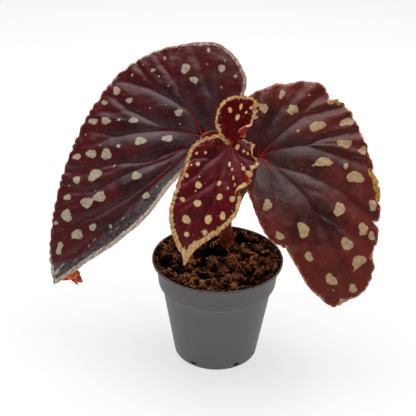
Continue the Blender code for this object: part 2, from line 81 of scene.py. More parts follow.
SLOT_TURNS = (30, 65, 115, 150)
SLOT_SIZE = Vector((12, 5.6, 2.4))
SLOT_HEIGHT = 4.6
SLOT_BEVEL = 0.6
LIP_TOP = 99.85
LIP_INSIDE = 58.3

# Soil: its wall (radius, height), then pits (x, y, reach, depth), husk flakes (x, y) and roots
# (radius, points)
SOIL_WALL = ((20, 2.5), (36.3, 2.5), (37.6, 4.2), (45.7, 53), (49, 72.5), (52.2, 77), (54.2, 92),
             (54.6, 97), (54.7, 98.1), (58, 98.15), (58.25, 98.5))
SOIL_RINGS = 104
SOIL_SIDES = 300
SOIL_FLAT = 98.9
SOIL_RADIUS, CRUMB_REACH, FIBRE_REACH = 58.2, 58.0, 57.6
SOIL_MIDDLE, SOIL_HEAP, HEAP_RADIUS = 96.3, 2.0, 56.2
SOIL_BRIM = 98.3
SOIL_PITS = ((-7, 14, 10, 5), (22, 37, 7, 4.5), (-46, -9, 7, 3.5), (-15, -12, 6, 2.5),
             (45, -26, 5, 2.5), (5, -49, 4.5, 2.5), (27, -30, 5, 3), (-32, 12, 6, 2.5))
SOIL_FLAKES = (
    (-9.9, 8), (-11.6, 7.2), (34, -14.4), (14.3, 37.1), (-42.4, -21.6), (5.2, -26), (4.4, -36),
    (6, -34.5), (-13.1, -40.1), (-14.5, -41), (-22.5, -47), (22, -43.2), (26.3, -44.6),
    (23.6, -44), (-30, 30), (42, 12), (-50, 8), (30, 34), (-2, 48), (12, -30))
ROOTS = ((0.55, (7.6, 27.3), (10, 17), (13.3, 7.4), (17.8, -3), (21.4, -13.3), (26.6, -26.6)),
         (0.48, (40.4, -12.4), (36, -19), (33.8, -24.6), (31, -30), (29.1, -36.4)),
         (0.42, (15.1, 3.9), (18, -6), (16.8, -20.4), (12, -26)),
         (0.38, (13, 8), (19, 0), (27, -4), (33, -9)),
         (0.36, (-3, 2), (2, -6), (8, -10), (16, -9)),
         (0.34, (-20, -20), (-12, -24), (-4, -22), (3, -27)))
FIBRES, CRUMBS, LIP_CRUMBS = 1250, 900, 150
FIBRE_KNOTS = 8
CLEAR_OF_CANE = 6.0

# Cane, with the heights of its joints, and the dried sheath round its foot
CANE_FOOT = (8.6, 32)
CANE_ROUTE = ((8.6, 32, 74), (8.6, 32, 97.5), (8.8, 31, 112), (9.2, 26.5, 138), (9.4, 20, 162),
              (9, 13, 182), (8.6, 6, 198))
CANE_RADII = (4.4, 4.4, 3.5, 3.3, 3.2, 3, 2.4)
CANE_JOINTS = (146, 160, 191)
PETIOLE_RADIUS = 2.2
SHEATH_STRIPS = 64
SHEATH_FOOT = 95.2

# Stipule
STIPULE_ROUTE = ((8, 5, 199), (1.4, -1, 212.5), (-6, -6, 221.5), (-12.7, -11, 223.3),
                 (-18.6, -16, 219.1))
STIPULE_WIDTH = 18.0
STIPULE_DEPTH = 4.0
STIPULE_HALVES = ((0, 0.28), (0.35, 0.85), (0.6, 0.95), (0.85, 0.6), (1, 0.05))
STIPULE_THICK = 0.5

# Dried scrap under the left leaf's tip: its drop along its root from 0 to 1, and the rib
# numbers where the root starts and how far it runs
SCRAP_DROP = ((0, 1.5), (0.2, 5), (0.42, 9.5), (0.6, 12), (0.8, 10.5), (1, 6))
SCRAP_ROOT = (12.10, 0.30)
SCRAP_THICK = 0.4

# Pocket low on the young leaf's right margin: the rib numbers where its lower and upper side
# start and how far they run
POCKET_SIDES = ((8.52, 0.34), (9.24, -0.32))
POCKET_THICK = 0.5

# Leaves, each a plan whose tables go by angle or by rib number:
# grid, seed: columns and rows of the blade's mesh, and the seed of its spots' outlines
# petiole: where it starts in the cane, and how far its middle leans
# seat, facing, tilt: where the petiole ends, and which way the blade's upper face looks
# rise, bend: slope of a ray at the petiole, and its change over 100 mm, by angle
# edge: reach of the outline, by angle
# ribs: angle of each rib at the petiole, halfway out and at the edge
# crease: the fold along the midrib
# wave, frill: height of the margin's waves, and their share of it, by rib
# curls: shift of the margin to the right, up and out, by rib
# teeth, pitch: depth of the scallops, by angle, and their spacing
# nicks: angle, height and half width of each cut in the margin or point on it
# pleat, valley: height of the panels between the veins, and width of the sunk veins
# veins: strength, then angle and reach of each point
# vein, vein_reach: thickness of the raised veins, and where they have darkened
# spots: angle, reach, half length and half width
# corners, torn: how angular and how ragged the spots are
# margin, lip: width of the pale margin and its flush, by angle, and the flush of its very edge
# dry: width of the dried edge, by angle
# bud, heart: share of the bud's dark red, by angle, and how far it reaches round the petiole;
# on the young leaf that red round the petiole is painted shade under its upper lobe
# shine: specular level of its upper face
BLADE_THICK = 0.7
LEAF_ROUGHNESS = 0.38
STRIP_WIDENS = (145, 190)
LEFT = {
    "grid": (330, 112), "seed": 1, "vein": 0.42, "vein_reach": 110, "torn": 1, "shine": 0.46, "lip": 0.1,
    "petiole": ((9.3, 21.5, 158), (-2, -3, -6)), "seat": (-15.6, 25, 207.7), "facing": -12, "tilt": 33,
    "rise": ((40, 8), (90, 10), (140, 12), (300, 12)),
    "bend": ((40, -14), (140, -15), (225, -16), (300, -16)),
    "edge": ((-50, 14), (-30, 24), (0, 32), (30, 40), (50, 51), (57, 62), (66, 69), (72, 74), (81, 80),
        (92, 84), (106, 84), (123, 87), (139, 91), (156, 97), (168, 101), (180, 109), (189, 116),
        (199, 128), (209, 144), (217, 160), (223, 175), (227, 184), (231, 192), (232, 181), (235, 147),
        (238, 126), (240, 110), (242, 98), (244, 80), (246, 54), (249, 42), (256, 28), (270, 18), (290, 14)),
    "ribs": ((-50, -50, -48), (-15, -12, -5), (15, 22, 32), (40, 58, 68), (62, 92, 105), (100, 124, 128),
        (125, 141, 142), (160, 171, 162), (185, 183, 182), (212, 208, 196), (226, 221, 208),
        (234, 229, 219), (239, 234, 231), (245, 239, 236), (258, 248, 245), (298, 294, 290)),
    "pleat": 4.4, "valley": 5.4, "wave": 0.6, "frill": ((0, 1), (15, 1)),
    "crease": {"rib": 12, "slope": 0.85, "facing": 7, "tilt": 27}, "curls": None,
    "teeth": ((-50, 0.2), (60, 0.5), (100, 0.5), (150, 0.9), (175, 1.6), (228, 1.6), (233, 0.4), (290, 0.3)),
    "pitch": 9,
    "veins": (
        (0.6, 49, 13, 77, 32, 83, 51, 86, 66, 87, 79),
        (0.8, 60, 1, 73, 20, 83, 34, 92, 45, 98, 58, 101, 69, 105, 82),
        (0.9, 110, 1, 119, 15, 126, 25, 125, 37, 124, 49, 120, 61, 118, 70, 117, 84),
        (0.5, 124, 49, 125, 62, 127, 74, 128, 87),
        (0.9, 125, 1, 125, 24, 133, 34, 138, 44, 143, 57, 147, 69, 151, 82, 156, 97),
        (0.5, 138, 44, 143, 58, 141, 70, 140, 80, 141, 90),
        (0.4, 147, 69, 151, 81, 149, 86, 148, 92),
        (0.9, 175, 1, 175, 13, 176, 25, 173, 37, 170, 50, 167, 71, 164, 86, 164, 99),
        (0.5, 170, 50, 168, 69, 171, 80, 173, 89, 175, 105),
        (1, 176, 25, 180, 38, 183, 52, 185, 65, 187, 76, 185, 90, 184, 98, 184, 113),
        (0.5, 185, 65, 187, 76, 189, 86, 191, 98, 191, 108, 193, 120),
        (1, 236, 1, 236, 13, 218, 25, 215, 35, 214, 47, 211, 59, 206, 75, 204, 93, 202, 111, 201, 130),
        (0.5, 206, 75, 208, 88, 206, 100, 204, 119, 204, 138),
        (0.9, 220, 20, 222, 36, 218, 49, 215, 66, 214, 84, 214, 106, 210, 128, 208, 143),
        (0.5, 214, 84, 214, 97, 214, 116, 214, 135, 213, 151),
        (0.9, 230, 38, 230, 56, 229, 68, 228, 80, 227, 91, 225, 107, 223, 124, 222, 135, 221, 152, 219, 165),
        (0.5, 225, 107, 225, 119, 224, 139, 223, 156, 222, 172),
        (1.2, 238, 1, 238, 35, 236, 42, 234, 55, 233, 68, 232, 80, 232, 104, 231, 117, 230, 137, 229, 154,
         228, 170, 229, 188),
        (0.6, 233, 68, 237, 77, 238, 92),
        (0.6, 232, 82, 235, 95, 236, 113, 236, 121),
        (0.5, 232, 98, 233, 115, 233, 146),
        (0.5, 231, 117, 231, 150, 232, 163),
        (0.4, 230, 145, 229, 162, 230, 178),
    ),
    "spots": (
        (66, 54, 1, 1), (67, 60, 2, 2), (75, 46, 1.5, 1), (80, 69, 1, 1), (81, 62, 4.5, 3),
        (82, 73, 1.5, 1), (93, 64, 1.5, 1), (93, 76, 3, 1.5), (105, 50, 3.5, 3.5), (111, 62, 5, 4),
        (123, 78, 2, 1.5), (131, 54, 1, 1), (133, 66, 1, 1), (134, 74, 2, 2), (137, 84, 1, 1),
        (142, 30, 3.5, 3.5), (146, 43, 1, 1), (146, 84, 1.5, 1.5), (158, 23, 1, 1), (159, 53, 1, 1),
        (159, 80, 1, 1), (159, 88, 4, 3.5), (161, 73, 3, 3), (168, 94, 3, 2.5), (174, 63, 4, 3),
        (176, 76, 1.5, 1.5), (177, 100, 1, 1), (178, 88, 5, 3), (179, 100, 4.5, 3), (186, 106, 1.5, 1),
        (191, 31, 4.5, 3.5), (192, 55, 5, 4), (192, 92, 1.5, 1), (194, 75, 2, 2), (196, 101, 5.5, 3.5),
        (196, 115, 4, 3.5), (198, 87, 5.5, 4.5), (206, 83, 1.5, 1), (206, 120, 4, 3.5), (207, 102, 6.5, 5),
        (207, 129, 1, 1), (211, 134, 3.5, 3), (214, 107, 1.5, 1), (217, 119, 6, 5), (217, 142, 5.5, 5),
        (217, 155, 3, 2), (218, 106, 5.5, 5), (219, 68, 4.5, 4), (224, 163, 3.5, 3.5), (225, 143, 5.5, 5),
        (225, 168, 3.5, 3), (227, 127, 3.5, 3.5), (232, 114, 2, 2), (235, 72, 3, 3.5), (237, 60, 1, 1),
        (240, 102, 1, 1), (232, 91, 2.5, 0.7), (234, 101, 3, 0.6), (236, 60, 1, 0.7), (235, 111, 3, 0.7),
        (234, 117, 2.5, 0.6), (231, 134, 2.5, 0.6), (231, 141, 2.5, 0.7), (229, 155, 2, 0.6),
        (232, 151, 2, 0.6), (231, 161, 5, 0.7), (229, 173, 4, 0.8), (229, 183, 5, 2.2), (227, 179, 2, 0.6),
        (218, 162, 1, 0.7)),
    "margin": ((-50, 1.2, 0.3), (45, 1.4, 0.3), (52, 3, 0.35), (100, 3, 0.4), (116, 1.6, 0.3),
        (158, 1.2, 0.4), (170, 0.9, 0.9), (222, 0.9, 0.9), (227, 2.8, 0), (232, 3.2, 0), (239, 3.4, 0),
        (242, 2.6, 0), (246, 1.6, 0.1), (290, 1, 0.3)),
    "dry": ((-50, -9), (290, -9)), "bud": ((-50, 0), (290, 0)), "nicks": (), "corners": 0.8, "heart": 0.1}
RIGHT = {
    "grid": (300, 110), "seed": 2, "vein": 0.4, "vein_reach": 26, "torn": 1, "shine": 0.34, "lip": 0.6,
    "petiole": ((9.3, 24.5, 146), (4, 0, -8)), "seat": (33.8, -4, 202.5), "facing": 13, "tilt": 36,
    "rise": ((-150, 14), (-55, 14), (-20, 10), (100, 8), (150, 10), (210, 14)),
    "bend": ((-150, -16), (-110, -18), (-20, -18), (20, -16), (60, -12), (100, -10), (210, -16)),
    "edge": ((-138, 24), (-120, 34), (-110, 41), (-104, 50), (-96, 66), (-90, 76), (-83, 83), (-80, 98),
        (-78, 112), (-75, 127), (-70, 143), (-63, 145), (-58, 146), (-54, 143), (-50, 137), (-46, 128),
        (-40, 124), (-33, 118), (-24, 113), (-17, 108), (-9, 101), (0, 97), (12, 93), (27, 90), (32, 84),
        (44, 85), (52, 80), (62, 70), (70, 66), (82, 59), (96, 53), (115, 45), (140, 32), (165, 20),
        (200, 12)),
    "ribs": ((-145, -142, -138), (-112, -108, -102), (-76, -78, -81), (-38, -55, -69), (-35, -49, -50),
        (-29, -29, -30), (15, 5, -8), (24, 14, 13), (50, 40, 29), (80, 63, 58), (105, 95, 88),
        (140, 132, 125), (175, 172, 168), (210, 206, 200)),
    "pleat": 4.2, "valley": 5.4, "wave": 1.2, "frill": ((0, 1), (13, 1)), "crease": None, "curls": None,
    "teeth": ((-140, 0.5), (-80, 0.8), (-60, 1), (0, 0.9), (60, 0.7), (200, 0.3)),
    "pitch": 8,
    "veins": (
        (0.7, 100, 1, 85, 10, 75, 15, 69, 22, 66, 28, 65, 34, 62, 43, 61, 52, 60, 66),
        (1, 50, 1, 47, 6, 45, 15, 43, 25, 41, 34, 39, 40, 38, 48, 35, 58, 30, 69, 27, 82),
        (0.6, 38, 48, 40, 61, 40, 73, 39, 85),
        (1, 25, 1, 22, 9, 17, 18, 13, 26, 11, 34, 9, 43, 10, 50, 11, 58, 11, 69, 11, 88),
        (0.7, 9, 41, 3, 50, -1, 59, -4, 67, -7, 80, -6, 98),
        (0.9, -38, 1, -38, 15, -32, 22, -29, 32, -27, 42, -28, 51, -28, 62, -29, 71, -30, 82, -33, 98, -33,
         114),
        (1.2, -44, 1, -44, 20, -46, 27, -47, 35, -48, 49, -50, 58, -52, 65, -54, 71, -56, 79, -57, 88, -58,
         98, -60, 114, -62, 123, -66, 137),
        (0.6, -52, 65, -51, 73, -49, 83, -48, 93, -47, 108, -47, 124),
        (0.5, -58, 98, -59, 107, -59, 118, -58, 125, -58, 140),
        (0.5, -47, 35, -42, 49, -38, 62, -40, 73),
        (0.9, -71, 1, -71, 10, -70, 17, -72, 25, -75, 34, -77, 43, -77, 58, -78, 67, -79, 81),
        (0.6, -52, 65, -60, 79, -64, 89, -68, 98, -71, 109, -71, 133),
        (0.7, -103, 1, -103, 5, -113, 13, -110, 22, -108, 31, -104, 39, -102, 45, -99, 53),
        (0.7, 115, 1, 111, 13, 100, 19, 95, 25, 90, 38, 85, 52),
    ),
    "spots": (
        (-100, 43, 1, 1), (-91, 44, 5, 4), (-85, 71, 4, 4), (-72, 95, 4, 4), (-68, 73, 6, 5.5),
        (-68, 130, 1, 1), (-67, 121, 5.5, 4.5), (-67, 142, 3.5, 3), (-61, 138, 4, 4), (-57, 126, 1, 1),
        (-53, 123, 5.5, 6), (-52, 105, 5, 5.5), (-41, 108, 5, 5.5), (-41, 118, 3.5, 3.5),
        (-40, 81, 5.5, 5.5), (-28, 107, 4.5, 4.5), (-27, 89, 1, 1), (-17, 85, 7.5, 5.5), (-15, 46, 1, 1),
        (-11, 75, 2.5, 2.5), (-10, 55, 7, 4.5), (-1, 92, 4.5, 3.5), (4, 76, 6.5, 4), (17, 84, 6, 4),
        (23, 57, 7, 4.5), (29, 40, 2, 1.5), (33, 80, 3.5, 3), (46, 70, 1.5, 1.5), (48, 77, 1, 1),
        (50, 50, 4.5, 5), (65, 58, 4, 3), (78, 56, 1, 0.5), (81, 42, 4.5, 4)),
    "margin": ((-140, 1, 0.7), (-84, 1, 0.8), (-81, 1.4, 0.7), (-76, 1.4, 0.7), (-71, 1.2, 0.6),
        (-66, 2, 0.2), (-60, 1.2, 0.6), (40, 1.2, 0.6), (60, 1.8, 0.4), (100, 1.2, 0.5), (200, 1, 0.6)),
    "dry": ((-140, -9), (-84, -9), (-82.5, 2.4), (-80.8, 2.4), (-79.8, -9), (-51, -9), (-50, 2.4),
        (-46.5, 2.4), (-45.5, -9), (-27.5, -9), (-25.5, 4), (-16, 5.5), (-11, 4), (-9, -9), (16, -9),
        (18, 1.4), (31, 2.8), (33.5, 0.5), (35, -9), (200, -9)),
    "bud": ((-140, 0), (200, 0)),
    "nicks": ((31.6, 4, 0.9), (34.2, -3.5, 1.2), (-34.6, -6, 0.7), (-82.6, -3, 0.6), (-11.5, -2.5, 1),
        (-18, -2, 0.8), (-25.6, -2.5, 0.7), (-48, -2.5, 0.6), (4, -1.5, 0.8), (-52, -1.5, 0.5)),
    "corners": 1, "heart": 24}
YOUNG = {
    "grid": (480, 84), "seed": 3, "vein": 0.38, "vein_reach": 50, "torn": 0.6, "shine": 0.15, "lip": 0.6,
    "petiole": ((8.8, 9.5, 190), (0, -2, -4)), "seat": (8.3, -30, 225.8), "facing": -6, "tilt": 40,
    "rise": ((-190, 12), (-140, 10), (-60, 8), (-20, 12), (20, 10), (60, 4), (100, 2), (150, 6)),
    "bend": ((-190, -24), (-140, -30), (-110, -38), (-60, -38), (-20, -24), (20, 10), (60, 40), (110, 40),
        (150, 20)),
    "edge": ((-216, 6), (-212, 9), (-203, 12.5), (-194, 14.5), (-189, 17), (-181, 23), (-169, 31),
        (-159, 36), (-152, 39.5), (-146, 43), (-141, 48.5), (-136, 56), (-132, 64), (-127, 75.5),
        (-122, 84), (-117, 91.5), (-112, 99), (-109, 103), (-107, 110), (-105.5, 101), (-104, 93.5),
        (-100, 85.5), (-92, 74.5), (-85, 66), (-79, 58), (-73, 44), (-66, 39), (-55, 35), (-48, 28),
        (-28, 27), (-12, 22), (4, 17), (24, 12), (31, 14), (37, 22), (43, 26), (50, 28), (54, 32), (57, 37),
        (60, 41), (71, 41), (83, 40), (93, 38.5), (102, 36), (109, 33), (123, 25), (135, 19), (144, 12.5),
        (152, 9), (160, 6), (166, 4)),
    "ribs": ((-216, -214, -212), (-188, -184, -178), (-145, -155, -152), (-126, -141, -137),
        (-114, -114, -129), (-110, -110, -119), (-107, -108, -107), (-102, -102, -97), (-90, -94, -86),
        (-74, -68, -68), (-55, -44, -38), (-22, -12, -2), (12, 20, 28), (48, 50, 50), (74, 66, 57),
        (93, 86, 80), (112, 109, 106), (134, 133, 132), (166, 162, 158)),
    "pleat": 4.6, "valley": 4.6, "wave": 0.6,
    "frill": ((0, 0.6), (5, 1.2), (7.5, 1.5), (8.6, 0.3), (13.5, 0.3), (14.6, 1.2), (18, 0.8)),
    "curls": (
        (0, 0, 0, 3), (1, 0, 0, 1.5), (2, 0, 0, 0), (8.45, 0, 0, 0), (8.65, 1, 1.5, 0),
        (8.75, -2.8, -0.8, 0), (8.85, -6.2, -1.9, 4), (8.97, -4, -1.4, 4), (9.08, -1.2, -1, 2),
        (9.22, 3.1, 1.8, 3), (9.34, -4.7, -2.9, 0), (9.42, -6.9, -1.6, -1), (9.5, -6.4, -1.5, -1),
        (9.62, 0.4, -5.3, 0), (9.69, 2.1, -5.6, 0), (9.76, 0.5, -4.8, 2), (9.84, 0, -2.9, 1),
        (10.05, 2.2, -2.4, 0), (10.15, 2.3, -1.4, -1), (10.3, -1.7, -0.9, 0), (10.45, -4.8, -1.9, 2),
        (10.6, -3.4, -2.1, 2), (10.7, -2.9, -1.6, 1), (10.85, -0.3, -0.8, -1), (10.97, 1.7, 0.1, -1),
        (11.1, 0.1, 0.1, 0), (11.25, -0.9, -2.2, 2), (11.45, -0.7, -0.9, 1), (11.65, -2.2, -0.8, 0),
        (11.85, 0.7, 1.3, -1), (12, 1.1, 2.1, -1), (12.2, -4.8, -1.7, 2), (12.35, -11.2, -6, 4),
        (12.5, -11.8, -7.8, 5), (12.7, -9.3, -8.1, 6), (12.9, -6.4, -8.7, 6), (13.05, -3.4, -9.8, 5),
        (13.15, -1, -7.7, 3), (13.35, -1.1, -4.1, 1), (13.5, 2.9, -3.5, 1), (13.62, -0.2, -1.7, 1),
        (13.75, 1.6, 0.6, 0), (13.88, -1.3, 0.6, 1), (14, 1, 2.5, 0), (14.15, -1.6, 1.3, 1),
        (14.35, 0, 0, 0), (16.6, 0, 0, 0), (18, 0, 0, -2)),
    "crease": None,
    "teeth": ((-216, 0.3), (-190, 0.7), (-120, 0.9), (-84, 0.9), (-70, 0.3), (52, 0.3), (62, 0.8),
        (130, 0.8), (166, 0.3)),
    "pitch": 5,
    "veins": (
        (1.2, -100, 1, -100, 11, -103, 22, -104, 32, -102, 42, -102, 52, -104, 61, -105, 71, -105, 81, -107,
         104),
        (0.8, -127, 1, -127, 12, -130, 19, -132, 29, -131, 40, -134, 56),
        (0.6, -131, 19, -143, 25, -149, 31, -152, 38),
        (0.8, -104, 32, -110, 39, -114, 44, -119, 52, -123, 59, -129, 72),
        (0.6, -104, 61, -108, 69, -113, 75, -119, 85),
        (0.7, -102, 41, -99, 49, -96, 58, -94, 68, -92, 75),
        (0.9, -93, 1, -93, 15, -91, 27, -87, 37, -86, 48, -85, 56, -82, 62),
        (0.7, -65, 1, -65, 11, -60, 18, -66, 26, -68, 38),
        (0.7, -50, 1, -50, 13, -40, 20, -33, 27),
        (0.6, 21, 1, 21, 8, 0, 17),
        (0.8, 90, 1, 90, 8, 90, 14, 85, 22, 82, 39),
        (0.7, 110, 1, 110, 10, 112, 18, 114, 29),
        (0.7, 61, 1, 61, 10, 55, 18, 58, 38),
    ),
    "spots": (
        (-156, 29, 1.5, 1.5), (-151, 22, 1.5, 1.5), (-144, 37, 1, 1), (-140, 32, 2, 2), (-137, 45, 2, 2),
        (-126, 38, 1, 1), (-125, 61, 2, 2.5), (-121, 44, 3, 3), (-120, 49, 1, 1), (-115, 73, 3.5, 4),
        (-113, 57, 3, 3.5), (-111, 84, 2.5, 2.5), (-105, 88, 2.5, 2.5), (-103, 77, 1, 1),
        (-101, 66, 4, 3.5), (-101, 77, 3, 2), (-100, 35, 2.5, 2), (-96, 46, 3, 2.5), (-91, 61, 3.5, 2.5),
        (-88, 38, 1.5, 1), (-87, 18, 2.5, 1.5), (-83, 47, 3, 2.5), (-81, 23, 1.5, 1), (-80, 30, 2.5, 1),
        (-79, 36, 2, 1), (-58, 21, 1, 1), (-58, 25, 2.5, 2.5), (-51, 29, 2.5, 2), (-30, 14, 1.5, 1.5),
        (-29, 18, 1.5, 1.5), (-28, 7, 2, 2.5), (62, 33, 2, 1.5), (66, 28, 1.5, 1.5), (78, 31, 3, 1.5),
        (79, 22, 3, 2), (95, 27, 2.5, 2), (126, 17, 1, 1)),
    "margin": ((-216, 1.2, 0), (-190, 2, 0), (-160, 2.6, 0), (-130, 3, 0.1), (-112, 4, 0), (-107, 6, 0),
        (-100, 4, 0), (-84, 3, 0), (-60, 2, 0), (0, 2, 0.1), (48, 1.6, 0.1), (56, 2.2, 0.1), (80, 2.6, 0.1),
        (120, 2.2, 0), (144, 1.8, 0), (166, 0.6, 0)),
    "dry": ((-216, -9), (166, -9)), "bud": ((-216, 0), (20, 0), (50, 1), (166, 1)), "nicks": (),
    "corners": 0.35, "heart": 16}

# Screen colours of the left, right and young leaf
TONES = {
    "dark": ((58, 14, 18), (58, 20, 15), (76, 10, 16)),
    "mid": ((88, 26, 30), (92, 34, 28), (126, 30, 40)),
    "deep": ((34, 8, 11), (38, 10, 8), (50, 0, 6)),
    "outer": ((106, 20, 26), (130, 50, 42), (112, 20, 30)),
    # crease: painted shade along the sunk veins and on slopes that face down
    "crease": ((44, 5, 8), (60, 6, 6), (60, 0, 6)),
    # sheen: painted sheen on raised panels and on slopes that face up
    "sheen": ((104, 92, 98), (104, 88, 88), (156, 84, 92)),
    "spot": ((216, 204, 178), (218, 188, 144), (255, 224, 164)),
    "spot_shade": ((172, 152, 126), (176, 140, 104), (234, 188, 126)),
    "speck": ((190, 150, 140), (190, 140, 110), (214, 160, 120)),
    "margin": ((226, 216, 194), (226, 190, 150), (255, 216, 150)),
    # margin_shade: darker tone of the margin, also laid beside each bead as painted shade
    "margin_shade": ((150, 100, 92), (150, 70, 50), (196, 124, 68)),
    "flush": ((196, 104, 84), (206, 110, 78), (214, 134, 80)),
    # strip, strip_shade: the left leaf's folded strip, painted with a grey sheen in a lighter and a darker
    # tone
    "strip": ((100, 96, 100), (104, 88, 88), (128, 60, 76)),
    "strip_shade": ((62, 50, 56), (60, 40, 40), (70, 20, 30)),
    "under": ((110, 26, 34), (124, 34, 28), (206, 18, 30)),
    "under_shade": ((76, 16, 24), (84, 22, 18), (132, 6, 18)),
    "bud": ((80, 10, 14), (62, 6, 4), (100, 0, 0)),
    "vein": ((170, 44, 44), (214, 26, 24), (150, 6, 16)),
    "vein_end": ((96, 16, 20), (92, 14, 12), (88, 2, 12)),
}

# Finishes of one mottled colour: roughness, shine, the noise and the ramp it runs through, the
# bump's noise and its depth in millimetres, and how the height of a piece lightens it, as painted
# shade low in the soil's hollows and painted light on its lumps
MOTTLED = {
    "coir fibre": (0.9, 0.05, (9, 3), ((0.34, 10, 4, 2), (0.45, 64, 30, 16), (0.55, 138, 78, 46),
                                       (0.68, 214, 152, 100)), (0.8, 2), 0.1, (0.62, 0.7)),
    "thin red-brown root": (0.7, 0.2, (5, 3), ((0, 150, 66, 38), (1, 228, 136, 90)), (1, 2), 0.1),
    "bark and peat crumbs": (1, 0.05, (3, 2), ((0.36, 5, 2, 1), (0.48, 44, 22, 12),
                                               (0.58, 124, 68, 36), (0.72, 200, 130, 78)),
                             (1.2, 3), 0.4, (0.68, 0.9)),
    "pale husk flakes": (0.9, 0.1, (20, 1), ((0.35, 140, 104, 36), (0.5, 190, 150, 84),
                                             (0.6, 128, 124, 50), (0.7, 196, 178, 132)),
                         (1, 2), 0.2),
    "dried sheath": (0.85, 0.5, (2, 4, 0.7), ((0.3, 96, 36, 20), (0.5, 184, 88, 48),
                                              (0.7, 232, 160, 104)), (1, 3), 0.4),
    "dried leaf margin": (0.7, 0.5, (3, 4, 0.65), ((0.36, 110, 20, 4), (0.5, 214, 72, 8),
                                                   (0.66, 252, 150, 40)), (1, 3), 0.3),
    # shaded fold: the young leaf's pocket, coloured dark as painted shade
    "shaded fold": (0.6, 0.3, (6, 4, 0.6), ((0, 110, 84, 42), (1, 70, 40, 20)), (1, 3), 0.08),
}


class Value:
    """One output of a finish's nodes. Sums on it add Math nodes."""

    def __init__(self, finish, socket):
        self.finish = finish
        self.socket = socket

    def __add__(self, other):
        return self.finish.math("ADD", self, other)

    def __sub__(self, other):
        return self.finish.math("SUBTRACT", self, other)

    def __rsub__(self, other):
        return self.finish.math("SUBTRACT", other, self)

    def __mul__(self, other):
        return self.finish.math("MULTIPLY", self, other)

    __radd__ = __add__
    __rmul__ = __mul__


class Finish:
    """A material under construction: nodes are added to it and feed its shader."""

    def __init__(self, name, rough, shine=0.5, tones=None, **constants):
        self.material = bpy.data.materials.new(name)
        self.material.use_nodes = True
        self.tree = self.material.node_tree
        self.shader = self.tree.nodes["Principled BSDF"]
        self.tones = tones or {}
        constants.update(Roughness=rough, Specular_IOR_Level=shine)
        for socket, value in constants.items():
            self.shader.inputs[socket.replace("_", " ")].default_value = value
        self.place = self.node("TexCoord", {}, {}, 3)

    def node(self, kind, settings, sockets, out=0):
        made = self.tree.nodes.new("ShaderNode" + kind)
        for key, value in settings.items():
            if key == "stops":
                self.fill_ramp(made.color_ramp, value)
            else:
                setattr(made, key, value)
        for key, value in sockets.items():
            if isinstance(value, Value):
                self.tree.links.new(value.socket, made.inputs[key])
            else:
                made.inputs[key].default_value = value
        return Value(self, made.outputs[out])

    def fill_ramp(self, ramp, stops):
        while len(ramp.elements) < len(stops):
            ramp.elements.new(0.5)
        for element, (at, *colour) in zip(ramp.elements, stops):
            element.position = at
            element.color = linear(*colour)

    def math(self, operation, first, second):
        return self.node("Math", {"operation": operation}, {0: first, 1: second})

    def feed(self, socket, value):
        self.tree.links.new(value.socket, self.shader.inputs[socket])

    def reading(self, name):
        return self.node("Attribute", {"attribute_name": name}, {}, 2)

    def axis(self, index):
        return self.node("SeparateXYZ", {}, {0: self.place}, index)

    def noise(self, size, detail=3.0, rough=0.55, warp=0.0):
        """Smooth noise round 0.5 whose lumps are about the given size in millimetres."""
        return self.node("TexNoise", {}, {"Vector": self.place, "Scale": 1000.0 / size,
                                          "Detail": detail, "Roughness": rough,
                                          "Distortion": warp})

    def cells(self, size):
        return self.node("TexVoronoi", {}, {"Vector": self.place, "Scale": 1000.0 / size})

    def ease(self, value, low, high):
        """0 below low, 1 above high and smooth between them."""
        return self.node("MapRange", {"interpolation_type": "SMOOTHSTEP"},
                         {0: value, 1: low, 2: high})

    def eased(self, name, low, high):
        return self.ease(self.reading(name), low, high)

    def colour(self, source):
        """A colour given as a value, by its name in the tones or from 0 to 255."""
        source = self.tones.get(source, source)
        return source if isinstance(source, Value) else linear(*source)

    def paint(self, colour, *layers):
        """A colour with others laid over it, each given with its share."""
        for share, over in layers:
            colour = self.node("Mix", {"data_type": "RGBA"},
                               {0: share, 6: self.colour(colour), 7: self.colour(over)}, 2)
        return colour

    def ramp(self, value, stops):
        return self.node("ValToRGB", {"stops": stops}, {0: value})

    def finished(self, colour, height, distance):
        """Feeds the colour, and a bump whose height of 1 stands for a distance in millimetres."""
        self.feed("Base Color", colour)
        self.feed("Normal", self.node("Bump", {}, {"Distance": distance * MM, "Height": height}))
        return self


def linear(red, green, blue):
    """Scene colour of a screen colour given from 0 to 255."""
    return (*(((c / 255 + 0.055) / 1.055) ** 2.4 for c in (red, green, blue)), 1.0)


def smooth_through(table, x):
    """Values at x on a smooth curve through the table's points, with no overshoot."""
    knots, values = np.array(table, float).T
    rates = np.diff(values) / np.diff(knots)
    slopes = np.zeros(len(knots))
    same = rates[:-1] * rates[1:] > 0
    both = np.where(same, rates[:-1] + rates[1:], 1.0)
    slopes[1:-1] = np.where(same, 2 * rates[:-1] * rates[1:] / both, 0.0)
    x = np.clip(x, knots[0], knots[-1])
    i = np.clip(np.searchsorted(knots, x, side="left") - 1, 0, len(knots) - 2)
    width = knots[i + 1] - knots[i]
    t = (x - knots[i]) / width
    ends = (2 * t**3 - 3 * t**2 + 1) * values[i] + (3 * t**2 - 2 * t**3) * values[i + 1]
    turns = (t**3 - 2 * t**2 + t) * slopes[i] + (t**3 - t**2) * slopes[i + 1]
    return ends + width * turns


def straight_through(table, x):
    return np.interp(x, *np.array(table, float).T)


def curve_through(points, step):
    """Points about one step apart on a smooth curve through the given points."""
    points = np.array(points, float)
    before = np.vstack((2 * points[:1] - points[1:2], points[:-1]))
    after = np.vstack((points[1:], 2 * points[-1:] - points[-2:-1]))
    line = []
    for k in range(len(points) - 1):
        a, b, c, d = before[k], points[k], points[k + 1], after[k + 1]
        count = max(1, int(round(np.linalg.norm(c - b) / step)))
        for f in np.arange(count) / count:
            line.append(0.5 * (2 * b + (c - a) * f + (2 * a - 5 * b + 4 * c - d) * f**2
                               + (3 * b - a - 3 * c + d) * f**3))
    line.append(points[-1])
    return np.array(line)


